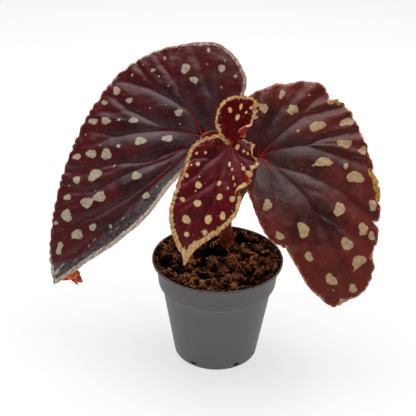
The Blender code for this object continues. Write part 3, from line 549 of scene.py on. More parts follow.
def distance_to(line, points):
    """Distance from each flat point to the line, and how far along the line it is, 0 to 1."""
    best = np.full(len(points), 1e9)
    along = np.zeros(len(points))
    count = len(line) - 1
    for k in range(count):
        start, course = line[k], line[k + 1] - line[k]
        length = course @ course
        if length == 0:
            continue
        t = np.clip((points - start) @ course / length, 0, 1)
        gap = np.linalg.norm(points - start - t[:, None] * course, axis=1)
        closer = gap < best
        best[closer] = gap[closer]
        along[closer] = (k + t[closer]) / count
    return best, along


def flat_point(angle, reach):
    turn = np.radians(angle)
    return np.stack((reach * np.cos(turn), reach * np.sin(turn)), axis=-1)


def aim(facing, tilt):
    """Unit vector turned from -Y toward +X by the first angle and raised by the second."""
    turn, lift = math.radians(facing), math.radians(tilt)
    return np.array((math.sin(turn) * math.cos(lift), -math.cos(turn) * math.cos(lift),
                     math.sin(lift)))


def unit(vectors):
    return vectors / np.linalg.norm(vectors, axis=-1, keepdims=True)


def clamp(value, low=0.0):
    return min(1.0, max(low, value))


def follow(line, t):
    """Points at shares t of the way along a line."""
    marks = np.linspace(0, 1, len(line))
    return np.stack([np.interp(t, marks, line[:, k]) for k in range(3)], 1)


def select_only(*pieces):
    bpy.ops.object.select_all(action="DESELECT")
    for piece in reversed(pieces):
        piece.select_set(True)
        bpy.context.view_layer.objects.active = piece


def named(name):
    """The object that was just added, with its name."""
    piece = bpy.context.object
    piece.name = name
    piece.data.name = name
    return piece


def link(name, data):
    piece = bpy.data.objects.new(name, data)
    bpy.context.scene.collection.objects.link(piece)
    return piece


def places(piece):
    flat = np.empty(3 * len(piece.data.vertices))
    piece.data.vertices.foreach_get("co", flat)
    return flat.reshape(-1, 3)


def move_to(piece, points):
    """Puts the mesh's points at the given places in millimetres."""
    piece.data.vertices.foreach_set("co", (MM * points).ravel())
    piece.data.update()


def grid(name, columns, rows):
    """Grid, and the place of each of its points from 0 to 1 across and along it."""
    select_only()
    bpy.ops.mesh.primitive_grid_add(x_subdivisions=columns, y_subdivisions=rows, size=1.0)
    piece = named(name)
    spots = places(piece) + 0.5
    return piece, spots[:, 0], spots[:, 1]


def apply(piece, kind, **settings):
    bpy.context.view_layer.objects.active = piece
    change = piece.modifiers.new(kind.lower(), kind)
    for key, value in settings.items():
        setattr(change, key, value)
    bpy.ops.object.modifier_apply(modifier=change.name)


def edit_all(piece, operator, **settings):
    """Runs an edit mode operator on the whole piece."""
    select_only(piece)
    bpy.ops.object.mode_set(mode="EDIT")
    bpy.ops.mesh.select_all(action="SELECT")
    operator(**settings)
    bpy.ops.object.mode_set(mode="OBJECT")


def thicken(piece, thick, offset=-1.0):
    """Gives a sheet its thickness in millimetres, with its faces outward."""
    apply(piece, "SOLIDIFY", thickness=thick * MM, offset=offset)
    edit_all(piece, bpy.ops.mesh.normals_make_consistent, inside=False)


def note(piece, **values):
    """Stores numbers of each point on the mesh for its finish to read."""
    for name, numbers in values.items():
        layer = piece.data.attributes.new(name, "FLOAT", "POINT")
        layer.data.foreach_set("value", np.asarray(numbers, np.float32))


def settle(piece, slot, *finishes, node=None, degrees=60.0):
    """Smooths the piece and gives it its finishes and its place in the part."""
    select_only(piece)
    bpy.ops.object.shade_smooth_by_angle(angle=math.radians(degrees))
    for finish in finishes:
        piece.data.materials.append(finish.material)
    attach(piece, BODY)
    if node:
        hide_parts(node)


def strands(name, routes, resolution):
    """Mesh of round strands, each a list of points in millimetres with their radii."""
    shape = bpy.data.curves.new(name, "CURVE")
    shape.dimensions = "3D"
    shape.bevel_depth = MM
    shape.bevel_resolution = resolution
    shape.use_fill_caps = True
    for points, radii in routes:
        spline = shape.splines.new("POLY")
        spline.points.add(len(points) - 1)
        for knot, point, radius in zip(spline.points, points, radii):
            knot.co = (*(MM * np.asarray(point)), 1.0)
            knot.radius = radius
    select_only(link(name, shape))
    bpy.ops.object.convert(target="MESH")
    return bpy.context.object


class Blade:
    """A leaf blade as a sheet, placed by rib number u and by s, 0 at the petiole, 1 at the edge."""

    def __init__(self, plan):
        self.plan = plan
        self.normal = aim(plan["facing"], plan["tilt"])
        self.across = unit(np.cross((0.0, 0.0, 1.0), self.normal))
        self.up = np.cross(self.normal, self.across)
        self.seat = np.array(plan["seat"])
        self.last_rib = len(plan["ribs"]) - 1
        self.veins = [
            (strength, curve_through(flat_point(*np.reshape(marks, (-1, 2)).T), 1.5))
            for strength, *marks in plan["veins"]]
        # Lengths along the margin, which space its teeth
        self.edge_marks = np.linspace(0, self.last_rib, 1200)
        angle = self.rib_angles(self.edge_marks)[2]
        line = flat_point(angle, self.table("edge", angle))
        steps = np.linalg.norm(np.diff(line, axis=0), axis=1)
        self.edge_lengths = np.concatenate(((0.0,), np.cumsum(steps)))

    def table(self, name, x):
        return smooth_through(self.plan[name], x)

    def rib_angles(self, u):
        """Angles of the line u near the petiole, halfway out and at the edge."""
        return [smooth_through(list(enumerate(angles)), u) for angles in zip(*self.plan["ribs"])]

    def from_margin(self, u, flat):
        """Distance to the margin on a point's own side of the blade, its cleft included."""
        distances = []
        for side in (0.0, 1.0):
            marks = self.edge_marks[::3]
            marks = marks[np.abs(marks / self.last_rib - side) < 0.6]
            line = flat_point(*self.course(marks, np.ones_like(marks)))
            back = np.linspace(0.3, 0.97, 12)
            cleft = flat_point(*self.course(np.full(12, side * self.last_rib), back))
            line = np.concatenate((cleft, line) if side == 0.0 else (line, cleft[::-1]))
            distances.append(distance_to(line, flat)[0])
        return np.where(u < 0.5 * self.last_rib, *distances)

    def teeth_passed(self, u):
        """Number of the margin's teeth before the line u, uneven as on a real leaf."""
        t = np.interp(u, self.edge_marks, self.edge_lengths) / self.plan["pitch"]
        return t + 0.25 * np.sin(1.7 * t)

    def tooth(self, u, angle):
        """How far the scalloped margin stands beyond the plain outline."""
        t = self.teeth_passed(u)
        lobe = 1 - np.abs(2 * (t - np.floor(t)) - 1) ** 2.2
        beyond = self.table("teeth", angle) * (lobe - 0.6)
        for middle, depth, half in self.plan["nicks"]:
            beyond = beyond + depth * np.exp(-((angle - middle) / half) ** 2)
        return beyond

    def ruffle(self, u):
        """Height of the margin's large waves and how far they draw it in."""
        size = self.plan["wave"] * self.table("frill", u)
        turn = 4.0 * np.pi * u + 0.7
        return size * np.sin(turn), 0.3 * size * np.cos(turn)

    def course(self, u, s):
        """Angle and reach of points on the ray that ends at u."""
        root, middle, end = self.rib_angles(u)
        angle = root * (1 - s) * (1 - 2 * s) + middle * 4 * s * (1 - s) + end * s * (2 * s - 1)
        reach = self.table("edge", end) * s + self.tooth(u, end) * s**6
        return angle, reach + self.ruffle(u)[1] * s**6

    def sheet(self, angle, reach):
        """Ends of rays that leave the petiole at these angles and bend evenly on their way."""
        slope = np.radians(self.table("rise", angle))
        turning = np.radians(self.table("bend", angle)) / 100
        turning = np.where(np.abs(turning) < 1e-5, 1e-5, turning)
        out = (np.sin(slope + turning * reach) - np.sin(slope)) / turning
        lift = (np.cos(slope) - np.cos(slope + turning * reach)) / turning
        flat = flat_point(angle, out)
        return flat[:, :1] * self.across + flat[:, 1:] * self.up + lift[:, None] * self.normal

    def fold(self, u, s, angle, reach):
        """Lift of the strip beyond the midrib of a blade that is folded there."""
        crease = self.plan["crease"]
        if not crease:
            return 0.0
        midrib = self.course(np.full_like(u, crease["rib"]), s)[0]
        off = np.where(u > crease["rib"], reach * np.radians(angle - midrib), 0.0)
        lift = crease["slope"] * (np.hypot(off, 3.0) - 3.0)
        return lift[:, None] * aim(crease["facing"], crease["tilt"])

    def curl(self, u, s):
        """Shift of the outer part of the blade where its margin folds over and back."""
        table = self.plan["curls"]
        if not table:
            return 0.0
        shifts = [smooth_through([(row[0], row[k]) for row in table], u) for k in (1, 2, 3)]
        axes = np.array((self.across, self.up, self.normal))
        return np.stack(shifts, 1) @ axes * (s**6)[:, None]

    def valleys(self, flat):
        """1 along the veins and 0 in the middle of the panels between them."""
        total = np.zeros(len(flat))
        for strength, line in self.veins:
            gap, along = distance_to(line, flat)
            depth = min(1.0, strength) * (1 - 0.4 * along)
            wide = self.plan["valley"] * (0.45 + 0.55 * strength)
            total += (depth * np.exp(-np.hypot(gap, 0.6) / wide)) ** 3
        return np.minimum(total ** (1 / 3), 1.0)

    def relief(self, u, s, flat, valley, rim):
        """Height over the smooth sheet: sunk veins, quilted panels and waved edge."""
        quilt = np.array([noise.noise((0.11 * x, 0.11 * y, 0.0))
                          + 0.35 * noise.noise((0.3 * x, 0.3 * y, 5.0)) for x, y in flat])
        height = self.plan["pleat"] * (1 - valley) * np.minimum(1.0, 2.5 * s) * (1 - 0.3 * s**6)
        teeth = self.table("teeth", self.rib_angles(u)[2])
        beads = 0.8 * teeth * np.sin(2 * np.pi * self.teeth_passed(u)) * np.exp(-rim / 1.5)
        return height + 0.8 * quilt * s + self.ruffle(u)[0] * s**4 + beads


def spot_field(plan, flat):
    """Distance in millimetres to the nearest spot's outline, negative inside it."""
    draw = random.Random(plan["seed"])
    best = np.full(len(flat), 30.0)
    for angle, reach, half_length, half_width in plan["spots"]:
        course, aside = flat_point(angle, 1.0), flat_point(angle + 90, 1.0)
        off = flat - reach * course
        x, y = off @ course / half_length, off @ aside / half_width
        part = 2 * math.pi / draw.randint(5, 7)
        turn = np.arctan2(y, x) - draw.uniform(0, 2 * math.pi)
        size = 1.12 * math.cos(part / 2) / np.cos(np.mod(turn, part) - part / 2)
        lobes = (0.16 * np.sin(2 * turn + draw.uniform(0, 6))
                 + 0.12 * np.sin(3 * turn + draw.uniform(0, 6)))
        edge = (1 + plan["corners"] * (size - 1)) * (1 + plan["corners"] * lobes)
        gap = (np.hypot(x, y) - edge) * min(half_length, half_width) + 0.25
        best = np.minimum(best, gap)
    return best


def rise_of(points, columns, toward):
    """How far a grid faces up at each of its points, from -1 to 1."""
    sheet = points.reshape(-1, columns + 1, 3)
    facing = np.cross(np.gradient(sheet, axis=1), np.gradient(sheet, axis=0)).reshape(-1, 3)
    facing *= np.sign((facing @ toward).sum())
    return facing[:, 2] / np.maximum(np.linalg.norm(facing, axis=1), 1e-9)


class Lay:
    """Finds the place on a blade's upper face of a point given flat."""

    def __init__(self, piece, flat, points, blade):
        quads = [list(face.vertices) for face in piece.data.polygons]
        self.flat = [Vector((x, y, 0)) for x, y in flat]
        self.points = [Vector(p) for p in points]
        self.triangles = [t for a, b, c, d in quads for t in ((a, b, c), (a, c, d))]
        self.tree = BVHTree.FromPolygons(self.flat, self.triangles)
        a, b, c = (points[[triangle[k] for triangle in self.triangles]] for k in range(3))
        self.faces_down = (np.cross(b - a, c - a) @ blade.normal).sum() < 0
        self.up = Vector(blade.normal)
        self.blade = blade

    def place(self, x, y):
        """Point on the upper face, and the face's normal there."""
        spot, _, index, _ = self.tree.find_nearest(Vector((x, y, 0)))
        corners = self.triangles[index]
        solid = [self.points[k] for k in corners]
        point = barycentric_transform(spot, *(self.flat[k] for k in corners), *solid)
        normal = (solid[1] - solid[0]).cross(solid[2] - solid[0]).normalized()
        if normal.length < 0.5:
            normal = self.up
        return point, normal if normal.dot(self.up) > 0 else -normal

    def near_margin(self, u):
        """Points on the upper face just inside the margin, at the lines u."""
        row = np.array(self.points).reshape(-1, self.blade.plan["grid"][0] + 1, 3)[-3]
        return follow(row, u / self.blade.last_rib)


def make_blade(name, slot, plan, finishes):
    """Leaf blade on a grid whose rows run from the petiole to the margin."""
    blade = Blade(plan)
    columns = plan["grid"][0]
    piece, across, s = grid(name, *plan["grid"])
    u = across * blade.last_rib
    angle, reach = blade.course(u, s)
    end = blade.rib_angles(u)[2]
    flat = flat_point(angle, reach)
    valley = blade.valleys(flat)
    rim = blade.from_margin(u, flat)
    plain = blade.seat + blade.sheet(angle, reach) + blade.fold(u, s, angle, reach)
    plain += blade.curl(u, s)
    points = plain + blade.relief(u, s, flat, valley, rim)[:, None] * blade.normal
    move_to(piece, points)
    rise, plain_rise = (rise_of(sheet, columns, blade.normal) for sheet in (points, plain))
    # Darker toward the bud's red round the petiole; on the young leaf this is painted shade under its upper
    # lobe
    heart = np.clip(1.2 - reach / plan["heart"], 0, 1)
    # Strip beyond the midrib's fold, which the face's finish paints with a grey sheen
    strip = 0 * u
    if plan["crease"]:
        low, high = STRIP_WIDENS
        widening = 0.5 * np.clip((reach - low) / (high - low), 0, 1)
        strip = np.clip(u - plan["crease"]["rib"] + 0.2 + widening, 0, 1)
    # tilt, how much more the relief faces up than the smooth sheet, and valley drive the face's painted
    # sheen and painted shade; bead drives painted shade along the margin's beads
    note(piece, tilt=rise - plain_rise, bead=np.sin(2 * np.pi * blade.teeth_passed(u)),
         bud=np.maximum(straight_through(plan["bud"], angle), heart),
         spot=spot_field(plan, flat), rim=rim, valley=valley, span=s,
         margin=smooth_through([mark[:2] for mark in plan["margin"]], end) - rim,
         tone=smooth_through([mark[::2] for mark in plan["margin"]], end),
         strip=strip, dry=straight_through(plan["dry"], end) - rim)
    lay = Lay(piece, flat, points, blade)
    if lay.faces_down:
        piece.data.flip_normals()
    edit_all(piece, bpy.ops.mesh.remove_doubles, threshold=0.001 * MM)
    for finish in finishes:
        piece.data.materials.append(finish.material)
    apply(piece, "SOLIDIFY", thickness=BLADE_THICK * MM, offset=-1.0, material_offset=1,
          material_offset_rim=2)
    settle(piece, slot, node=slot)
    return lay


def make_veins(name, slot, lay, finish):
    """Raised veins, half sunk in the blade, thicker under it than over it."""
    routes = []
    for strength, line in lay.blade.veins:
        thick = lay.blade.plan["vein"] * strength
        points = []
        for x, y in line:
            point, normal = lay.place(x, y)
            points.append(point - 0.45 * BLADE_THICK * normal)
        routes.append((points, thick * (1 - 0.72 * np.linspace(0, 1, len(line))) + 0.12))
    piece = strands(name, routes, 1)
    note(piece, hub=np.linalg.norm(places(piece) / MM - lay.blade.seat, axis=1))
    settle(piece, slot, finish)


def leaf_finish(name, plan, tones):
    """Upper face of a leaf."""
    look = Finish(name, LEAF_ROUGHNESS, plan["shine"], tones)
    broad = look.noise(26.0, 4.0, 0.6)
    fine = look.noise(3.0, 5.0, 0.6)
    grain = look.noise(0.8, 2.0, 0.5)
    ragged = 1.1 * (look.noise(2.2, 3.0, 0.6) - 0.5) + 1.3 * (look.noise(6.0, 1.0) - 0.5)
    patches = look.ease(look.noise(6.0, 1.0), 0.44, 0.52)
    valley = look.reading("valley")
    span = look.reading("span")
    tilt = look.reading("tilt")
    inside = look.reading("margin") * -1.0
    nearest = look.reading("spot") + plan["torn"] * ragged
    # Skin between the spots, with painted sheen and painted shade laid on where the relief's slopes face up
    # or down
    outer = look.ease(span + 0.9 * (broad - 0.5), 0.45, 0.85)
    # Painted sheen: on the raised panels near the petiole and on slopes that face up
    panel = look.ease(valley, 0.05, 0.4) * look.ease(valley, 0.9, 0.5) * look.ease(span, 0.8, 0.2)
    lit = look.ease(tilt, 0.03, 0.3) * (0.25 + 0.5 * fine) * look.ease(span, 1.15, 0.55)
    # The folded strip, painted with a grey sheen
    strip_sheen = look.paint("strip_shade", (look.ease(fine + 0.6 * broad, 0.68, 0.84), "strip"))
    speck = look.ease(look.cells(4.6), 0.11, 0.07) * look.ease(look.noise(9.0, 1.0), 0.48, 0.52)
    skin = look.paint("dark", (look.ease(broad + 0.3 * fine, 0.5, 0.78), "mid"),
                      (outer * 0.75, "outer"),
                      (panel * look.ease(fine + broad, 0.7, 1.2) * 0.5, "sheen"),
                      (look.eased("strip", 0.05, 0.3) * 0.88, strip_sheen),
                      (lit, "sheen"),
                      # Painted shade on slopes that face down and along the sunk veins
                      (look.ease(tilt, -0.05, -0.35) * 0.6, "crease"),
                      (look.ease(valley, 0.72, 0.93) * 0.85, "crease"),
                      # Bud's dark red, which round the young leaf's petiole is painted shade
                      (look.reading("bud") * 0.9, "bud"),
                      (look.ease(grain, 0.35, 0.7) * 0.3, "deep"),
                      (speck * 0.6, "speck"))
    # Spots, pale margin with flecks inside it and painted shade beside each of its beads, and dried edge
    spots = look.ease(nearest, 0.25, -0.25)
    spot = look.paint("spot", (look.ease(fine, 0.3, 0.75), "spot_shade"),
                      (look.ease(nearest, -0.9, 0.0) * 0.4, "spot_shade"))
    edge = look.paint("margin", (look.reading("tone"), "flush"),
                      (look.ease(fine, 0.42, 0.66) * 0.75, "margin_shade"),
                      # Painted shade on one side of each bead
                      (look.eased("bead", 0.2, -0.9) * 0.6, "margin_shade"),
                      (look.eased("rim", 0.7, 0.1) * plan["lip"], "flush"))
    frayed = 1.4 * ragged + 2.6 * (look.noise(1.5, 2.0, 0.6) - 0.5)
    band = look.ease(inside + frayed, 0.3, -0.3)
    flecks = look.ease(look.cells(2.6), 0.30, 0.20) * look.ease(inside, 3.5, 0.5) * patches
    dried = look.ease(look.reading("dry") + 1.5 * ragged, -0.3, 0.4)
    straw = look.ramp(fine, ((0.3, 60, 34, 18), (0.5, 196, 130, 52), (0.68, 226, 178, 96)))
    look.feed("Roughness", LEAF_ROUGHNESS + 0.16 * (fine - 0.5) + 0.12 * spots)
    colour = look.paint(skin, (spots * 0.95, spot), (flecks * 0.8, edge), (band * 0.95, edge),
                        (dried, straw))
    return look.finished(colour, grain + 0.6 * fine + 1.2 * band, 0.10)


def plain_leaf_finish(name, first, second, tones):
    """Underside or cut edge of a leaf."""
    look = Finish(name, 0.5, 0.3, tones)
    colour = look.paint(first, (look.noise(6.0, 4.0, 0.6), second))
    return look.finished(colour, look.noise(1.0), 0.08)


def vein_finish(name, reach, tones):
    look = Finish(name, 0.5, 0.25, tones)
    colour = look.paint("vein", (look.eased("hub", 0.15 * reach, reach), "vein_end"))
    return look.finished(colour, look.noise(1.5, 2.0), 0.05)


def mottled(name):
    """One of the finishes listed under MOTTLED."""
    rough, shine, tone, stops, grain, depth, *light = MOTTLED[name]
    look = Finish(name, rough, shine)
    value = look.noise(*tone)
    # Painted shade low in the soil's hollows, painted light on its lumps
    for middle, share in light:
        value = value + (look.reading("lift") - middle) * share
    return look.finished(look.ramp(value, stops), look.noise(*grain), depth)


def pot_finish():
    """Satin grey plastic with soil dust on its lip and a few scuffs and stuck crumbs."""
    look = Finish("grey pot plastic", 0.5, 0.4)
    mottle = look.noise(14.0, 4.0, 0.6)
    height = look.axis(2)
    scuff = look.ease(look.noise(9.0, 6.0, 0.75, 1.5), 0.62, 0.68) * 0.22
    low = look.ease(height, 0.012, 0.002)
    dust = look.ease(look.noise(2.2, 4.0, 0.7) + 0.10 * low, 0.70, 0.75) * 0.6
    crest = look.ease(height, 0.0994, 0.0999)
    lip = look.ease(height, 0.0975, 0.0990)
    soiled = look.ease(look.noise(1.6, 4.0, 0.7), 0.44, 0.62) * lip * 0.7
    colour = look.paint((94, 92, 92), (mottle, (110, 108, 108)), (scuff, (150, 146, 140)),
                        (dust, (62, 40, 28)), (crest * 0.6, (150, 142, 138)),
                        (soiled, (58, 38, 30)))
    look.feed("Roughness", 0.42 + 0.16 * mottle + 0.3 * dust)
    return look.finished(colour, look.noise(0.6, 2.0, 0.5) + 1.2 * dust, 0.07)


def soil_finish():
    """Painted shade and light: nearly black where the soil's top is low, brown on its lumps."""
    look = Finish("peat and coir", 1.0, 0.03)
    lumps = look.noise(4.0, 5.0, 0.7)
    fine = look.noise(0.9, 3.0, 0.6)
    # Painted shade in the hollows and painted light on the lumps, mottled by noise
    lit = look.reading("lift") * 1.1 + (lumps - 0.5) * 0.9 + (fine - 0.5) * 0.5 - 0.36
    colour = look.ramp(lit, ((0.16, 3, 1, 1), (0.36, 34, 16, 9), (0.54, 112, 62, 34),
                             (0.75, 180, 118, 72)))
    return look.finished(colour, fine + lumps, 1.2)


def cane_finish():
    look = Finish("cane skin", 0.42)
    streak = look.noise(3.0)
    dots = look.ease(look.cells(2.6), 0.16, 0.10) * 0.5
    colour = look.paint((150, 56, 44), (streak, (196, 96, 70)), (dots, (190, 130, 100)))
    return look.finished(colour, streak, 0.2)


def stipule_finish():
    look = Finish("red sheath", 0.42, 0.3)
    streak = look.noise(1.2, 3.0, 0.7)
    colour = look.paint((96, 4, 10), (look.ease(look.noise(5.0), 0.35, 0.65), (168, 14, 18)),
                        (look.ease(streak, 0.5, 0.62) * 0.4, (206, 60, 52)),
                        (look.eased("rim", 0.88, 0.96), (214, 150, 120)))
    return look.finished(colour, streak, 0.15)


def turned(name, profile, sides):
    """Solid of revolution round Z: a ring drawn out along the profile and closed at both ends."""
    select_only()
    bpy.ops.mesh.primitive_circle_add(vertices=sides, radius=MM * profile[0][0],
                                      location=(0, 0, MM * profile[0][1]))
    piece = named(name)
    bpy.ops.object.transform_apply(location=True)
    bpy.ops.object.mode_set(mode="EDIT")
    bpy.ops.mesh.select_all(action="SELECT")
    bpy.ops.mesh.edge_face_add()
    bpy.ops.mesh.select_all(action="SELECT")
    for (r, z), (next_r, next_z) in zip(profile, profile[1:]):
        bpy.ops.mesh.extrude_region_move(
            TRANSFORM_OT_translate={"value": (0, 0, MM * (next_z - z))})
        bpy.ops.transform.resize(value=(next_r / r, next_r / r, 1.0))
    bpy.ops.object.mode_set(mode="OBJECT")
    return piece


def make_pot():
    pot = turned("plastic_pot", POT_PROFILE, POT_SIDES)
    cutters = []
    for side in (-1, 1):
        for turn in SLOT_TURNS:
            angle = side * turn - 90
            select_only()
            bpy.ops.mesh.primitive_cube_add(
                size=1.0, location=MM * Vector((*flat_point(angle, BASE_RADIUS), SLOT_HEIGHT)),
                rotation=(0, 0, math.radians(angle)), scale=MM * SLOT_SIZE)
            cutters.append(named("slot_cutter"))
            bpy.ops.object.transform_apply(location=True, rotation=True, scale=True)
            apply(cutters[-1], "BEVEL", width=SLOT_BEVEL * MM, segments=2)
    select_only(*cutters)
    bpy.ops.object.join()
    cutter = named("slot_cutter")
    apply(pot, "BOOLEAN", operation="DIFFERENCE", object=cutter, solver="EXACT")
    bpy.data.objects.remove(cutter)
    settle(pot, "pot", pot_finish(), node="pot", degrees=40.0)


def soil_trend(out):
    """Height of the top without its lumps, this far from the pot's axis."""
    return SOIL_MIDDLE + SOIL_HEAP * math.exp(-(HEAP_RADIUS - out) / 7.0)


def soil_height(x, y):
    """Crumbly top with pits and ridges, heaped a little toward the wall."""
    spot = Vector((x, y, 0))
    calm = clamp((math.dist((x, y), CANE_FOOT) - CLEAR_OF_CANE) / 6.0)
    out = math.hypot(x, y)
    height = soil_trend(out)
    for px, py, reach, deep in SOIL_PITS:
        height -= deep * math.exp(-((x - px) ** 2 + (y - py) ** 2) / reach**2)
    rough = 3.4 * noise.noise(0.11 * spot + Vector((4, 1, 9)))
    rough += 1.9 * noise.noise(0.27 * spot + Vector((3, 8, 2)))
    rough += 1.3 * noise.noise(0.55 * spot) + 0.9 * abs(noise.noise(1.1 * spot))
    rough += 0.5 * noise.noise(2.3 * spot)
    height += rough * (0.25 + 0.75 * calm) * clamp((54.5 - out) / 4.0, 0.35)
    return max(height, SOIL_BRIM) if out > 54.0 else height


def lifts(points):
    """How high each point stands in the lumps round it, from 0 to 1, which the soil's finishes paint as
    shade low and light high.
    """
    return [clamp(0.52 + (z - soil_trend(min(57.0, math.hypot(x, y)))) / 7.0)
            for x, y, z in points]


def make_soil():
    """Root ball that follows the pot's inside, with a crumbly top and what lies on it."""
    rings = [SOIL_RADIUS * (1 - (k / SOIL_RINGS) ** 1.08) for k in range(SOIL_RINGS)]
    soil = turned("soil_top", SOIL_WALL + tuple((r, SOIL_FLAT) for r in rings), SOIL_SIDES)
    points = places(soil) / MM
    for point in points:
        if point[2] > SOIL_FLAT - 0.2:
            point[2] = soil_height(point[0], point[1])
    move_to(soil, points)
    note(soil, lift=lifts(points))
    settle(soil, "soil", soil_finish(), node="soil")
    make_fibres()
    make_roots()
    spots, draw = soil_spots(CRUMBS, 8, CRUMB_REACH)
    scatter("soil_crumbs", spots, draw, (0.3, 0.4, 0.5, 0.7, 0.9, 1.2), 0.75,
            "bark and peat crumbs")
    turns = [draw.uniform(0, 2 * math.pi) for _ in range(LIP_CRUMBS)]
    spots = [flat_point(math.degrees(turn), draw.uniform(58.5, 59.5)) for turn in turns]
    scatter("lip_crumbs", spots, draw, (0.25, 0.35, 0.45, 0.55), 0.5, "bark and peat crumbs")
    scatter("husk_flakes", SOIL_FLAKES, draw, (0.9, 1.3, 1.8), 0.45, "pale husk flakes")


def soil_spots(count, seed, reach):
    """Even scatter over the soil's top, clear of the cane."""
    draw = random.Random(seed)
    golden = math.pi * (3 - math.sqrt(5))
    spots = []
    for k in range(count):
        radius = reach * math.sqrt((k + 0.7) / count)
        turn = golden * k + draw.uniform(-0.5, 0.5) + seed
        spot = (radius * math.cos(turn), radius * math.sin(turn))
        if math.dist(spot, CANE_FOOT) > CLEAR_OF_CANE:
            spots.append(spot)
    return spots, draw


def make_fibres():
    """Bowed coir fibres whose ends dip into the soil's top."""
    spots, draw = soil_spots(FIBRES, 3, FIBRE_REACH - 0.6)
    routes = []
    for x, y in spots:
        turn = draw.uniform(0, 2 * math.pi)
        half = draw.choice((1.5, 2.5, 3.5, 5.0, 7.0))
        bow = draw.uniform(-0.9, 0.9) * half
        loft = draw.uniform(0.05, 0.35) * half
        size = draw.choice((0.12, 0.16, 0.2, 0.28, 0.4))
        points, radii = [], []
        for along in np.linspace(-1, 1, FIBRE_KNOTS):
            px = x + along * half * math.cos(turn) - (1 - along**2) * bow * math.sin(turn)
            py = y + along * half * math.sin(turn) + (1 - along**2) * bow * math.cos(turn)
            inward = min(1.0, FIBRE_REACH / math.hypot(px, py))
            px, py = inward * px, inward * py
            over = loft * (1 - along**2) + 0.35 - 1.3 * along**6
            points.append((px, py, soil_height(px, py) + over))
            radii.append(size * (1 - 0.5 * abs(along)))
        routes.append((points, radii))
    fibres = strands("coir_fibres", routes, 0)
    note(fibres, lift=lifts(places(fibres) / MM))
    settle(fibres, "soil", mottled("coir fibre"))


def make_roots():
    routes = []
    for size, *marks in ROOTS:
        line = curve_through(marks, 1.2)
        t = np.linspace(0, 1, len(line))
        ends = np.minimum(1.0, 6 * np.minimum(t, 1 - t))
        heights = [soil_height(x, y) + 0.9 * end - 0.7 for (x, y), end in zip(line, ends)]
        routes.append((np.column_stack((line, heights)), size * (0.4 + 0.6 * ends)))
    settle(strands("surface_roots", routes, 1), "soil", mottled("thin red-brown root"))


def scatter(name, spots, draw, sizes, flat, finish):
    """Lumps half sunk in the soil's top or lying on the lip, all in one mesh."""
    select_only()
    bpy.ops.mesh.primitive_uv_sphere_add(segments=8, ring_count=5, radius=1.0)
    pattern = named("lump")
    base = places(pattern)
    faces = [list(face.vertices) for face in pattern.data.polygons]
    bpy.data.objects.remove(pattern)
    points, polygons = [], []
    for x, y in spots:
        size = draw.choice(sizes)
        shift = Vector((draw.uniform(-50, 50), draw.uniform(-50, 50), 0))
        stretch = draw.uniform(0.7, 1.4)
        turn = draw.uniform(0, math.pi)
        c, s = math.cos(turn), math.sin(turn)
        polygons += [[k + len(points) for k in face] for face in faces]
        under = LIP_TOP if math.hypot(x, y) > LIP_INSIDE else soil_height(x, y)
        for p in base:
            lump = size * (1 + 0.6 * noise.noise(1.3 * Vector(p) + shift))
            a, b = lump * stretch * p[0], lump * p[1]
            points.append((x + c * a - s * b, y + s * a + c * b,
                           under + 0.3 * size + flat * lump * p[2]))
    mesh = bpy.data.meshes.new(name)
    mesh.from_pydata(MM * np.array(points), [], polygons)
    lumps = link(name, mesh)
    note(lumps, lift=lifts(points))
    settle(lumps, "soil", mottled(finish))


def petiole_route(plan):
    """Route from inside the cane to just under a blade, arriving square to it."""
    start, lean = plan["petiole"]
    normal = aim(plan["facing"], plan["tilt"])
    end = np.array(plan["seat"]) - 0.5 * BLADE_THICK * normal
    before = end - 14.0 * normal
    middle = 0.5 * (start + before) + lean
    return curve_through([start, middle, before, end - 5.0 * normal, end], 1.5)


def make_stem():
    cane = curve_through(CANE_ROUTE, 1.0)
    marks = np.linspace(0, len(CANE_RADII) - 1, len(cane))
    radii = smooth_through(list(enumerate(CANE_RADII)), marks)
    for joint in CANE_JOINTS:
        radii = radii + 0.9 * np.exp(-((cane[:, 2] - joint) / 1.6) ** 2)
    routes = [(cane, radii)]
    for plan in (LEFT, RIGHT, YOUNG):
        line = petiole_route(plan)
        t = np.linspace(0, 1, len(line))
        swell = 1.3 - 0.35 * np.sqrt(t) + 0.25 * np.exp(-(1 - t) / 0.04)
        routes.append((line, PETIOLE_RADIUS * swell))
    settle(strands("cane_and_petioles", routes, 6), "stem", cane_finish(), node="stem")
    make_sheath()


def make_sheath():
    """Dried sheath round the cane's foot: overlapping fibrous strips."""
    draw = random.Random(5)
    routes = []
    for k in range(SHEATH_STRIPS):
        turn = 2 * math.pi * k / SHEATH_STRIPS + draw.uniform(-0.1, 0.1)
        low, high = draw.uniform(5.6, 7.4), draw.uniform(3.4, 5.0)
        top = draw.uniform(103.0, 112.0)
        marks = np.linspace(0, 1, 8)
        points = []
        for t in marks:
            r = low + (high - low) * t**0.7 + 0.35 * math.sin(9 * t + k)
            a = turn + 0.25 * math.sin(3 * t + k)
            z = SHEATH_FOOT + (top - SHEATH_FOOT) * t
            lean = max(0.0, (z - 98.0) / 14.0)
            points.append((CANE_FOOT[0] + r * math.cos(a) + 0.1 * lean,
                           CANE_FOOT[1] + r * math.sin(a) - 1.2 * lean, z))
        routes.append((points, draw.uniform(0.35, 0.85) * (1.1 - 0.8 * marks)))
    settle(strands("dried_sheath", routes, 1), "stem", mottled("dried sheath"))


